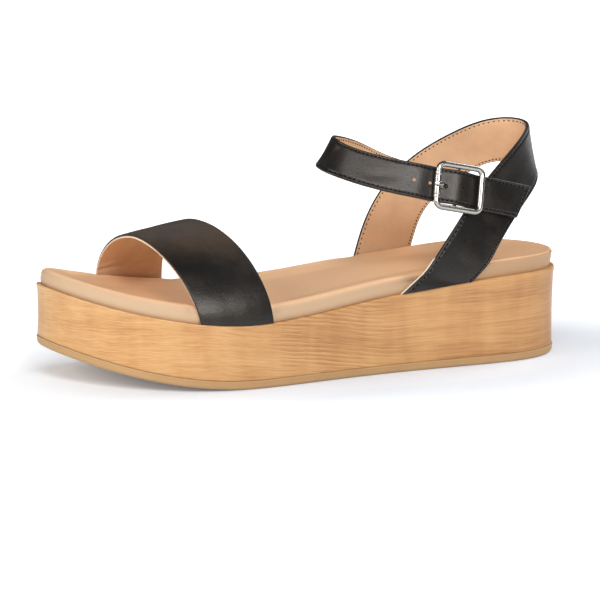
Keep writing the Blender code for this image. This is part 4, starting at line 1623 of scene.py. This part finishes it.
class SANDAL_OT_buckle(Operator):
    """Make the buckle's frame with its roller and centre bar, and the prong"""

    bl_idname = "sandal.buckle"
    bl_label = "Buckle"

    def execute(self, context):
        buckle = settings().buckle
        back, up, out = buckle_axes()
        wire = sweep(on_buckle(frame_line()), buckle.wire, buckle.wire, out, sides=24, closed=True)
        bar = sweep(on_buckle(bar_line()), buckle.bar, buckle.bar, back)
        ways, radii = zip(*roller_profile())
        axis = on_buckle([(-buckle.half_length, y, buckle.lift) for y in ways])
        roller = sweep(axis, radii, radii, out, sides=32)
        half_width, half_wall = buckle.prong_width / 2, buckle.prong_wall / 2
        prong = sweep(on_buckle(prong_line()), half_width, half_wall, up, sides=20, power=0.5)
        for name, shape, node in (
                ("buckle_wire", joined((wire, bar)), "buckle_frame"),
                ("buckle_roller", roller, "buckle_frame"),
                ("buckle_tongue", prong, "buckle_prong")):
            piece(name, mesh_from(name, *shape), silver_metal, node)
        return {"FINISHED"}


class SANDAL_OT_stage(Operator):
    """Make the pale floor, the soft light and the camera"""

    bl_idname = "sandal.stage"
    bl_label = "Stage"

    def execute(self, context):
        stage = settings().stage
        scene = context.scene
        mesh = bpy.data.meshes.new("floor")
        corners = [(x * FLOOR_HALF, y * FLOOR_HALF, 0) for x, y in ((-1, -1), (1, -1), (1, 1), (-1, 1))]
        mesh.from_pydata(corners, [], [(0, 1, 2, 3)])
        mesh.materials.append(finish(pale_floor))
        put("floor", mesh)

        world = bpy.data.worlds.new("studio")
        world.use_nodes = True
        back = world.node_tree.nodes["Background"]
        back.inputs["Color"].default_value = (1, 1, 1, 1)
        back.inputs["Strength"].default_value = stage.sky
        scene.world = world
        for row in LIGHTS:
            light = bpy.data.lights.new(row.name, "AREA")
            light.shape = "RECTANGLE"
            light.size, light.size_y = row.size_m
            light.energy = row.watts
            lamp = put(row.name, light)
            lamp.location = row.place_m
            lamp.rotation_euler = (-Vector(row.place_m)).to_track_quat("-Z", "Y").to_euler()

        camera = bpy.data.cameras.new("camera")
        camera.lens = stage.lens
        holder = put("camera", camera)
        tilt = Matrix.Rotation(math.pi / 2 - stage.elevation, 4, "X")
        turn = Matrix.Rotation(stage.azimuth, 4, "Z") @ tilt
        place = Matrix.Translation(Vector(stage.camera_at) + Vector(home()))
        holder.matrix_world = place @ turn @ Matrix.Rotation(stage.roll, 4, "Z")
        scene.camera = holder
        scene.view_settings.view_transform = "Standard"
        return {"FINISHED"}


class SANDAL_PT_panel(Panel):
    """Lists the pieces of the sandal and their settings"""

    bl_idname = "SANDAL_PT_panel"
    bl_label = "Flatform sandal"
    bl_space_type = "VIEW_3D"
    bl_region_type = "UI"
    bl_category = "Sandal"

    def draw(self, context):
        for operator in OPERATORS:
            self.layout.operator(operator.bl_idname)
        sandal = context.scene.flatform_sandal
        for group in (sandal.sole, sandal.straps, sandal.buckle, sandal.colours, sandal.stage):
            box = self.layout.box()
            for name in group.__annotations__:
                box.prop(group, name)


GROUPS = (SoleSettings, StrapSettings, BuckleSettings, ColourSettings, StageSettings, SandalSettings)
OPERATORS = (
    SANDAL_OT_outsole, SANDAL_OT_platform, SANDAL_OT_footbed, SANDAL_OT_toe_strap,
    SANDAL_OT_heel_sling, SANDAL_OT_stitches, SANDAL_OT_buckle, SANDAL_OT_stage,
)
CLASSES = (*GROUPS, *OPERATORS, SANDAL_PT_panel)


def register():
    """Add the settings, operators and panel."""
    for cls in CLASSES:
        bpy.utils.register_class(cls)
    bpy.types.Scene.flatform_sandal = PointerProperty(type=SandalSettings)


def unregister():
    """Take them away again."""
    del bpy.types.Scene.flatform_sandal
    for cls in reversed(CLASSES):
        bpy.utils.unregister_class(cls)


def main():
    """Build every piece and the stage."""
    register()
    for operator in OPERATORS:
        group, name = operator.bl_idname.split(".")
        getattr(getattr(bpy.ops, group), name)()


if __name__ == "__main__":
    main()
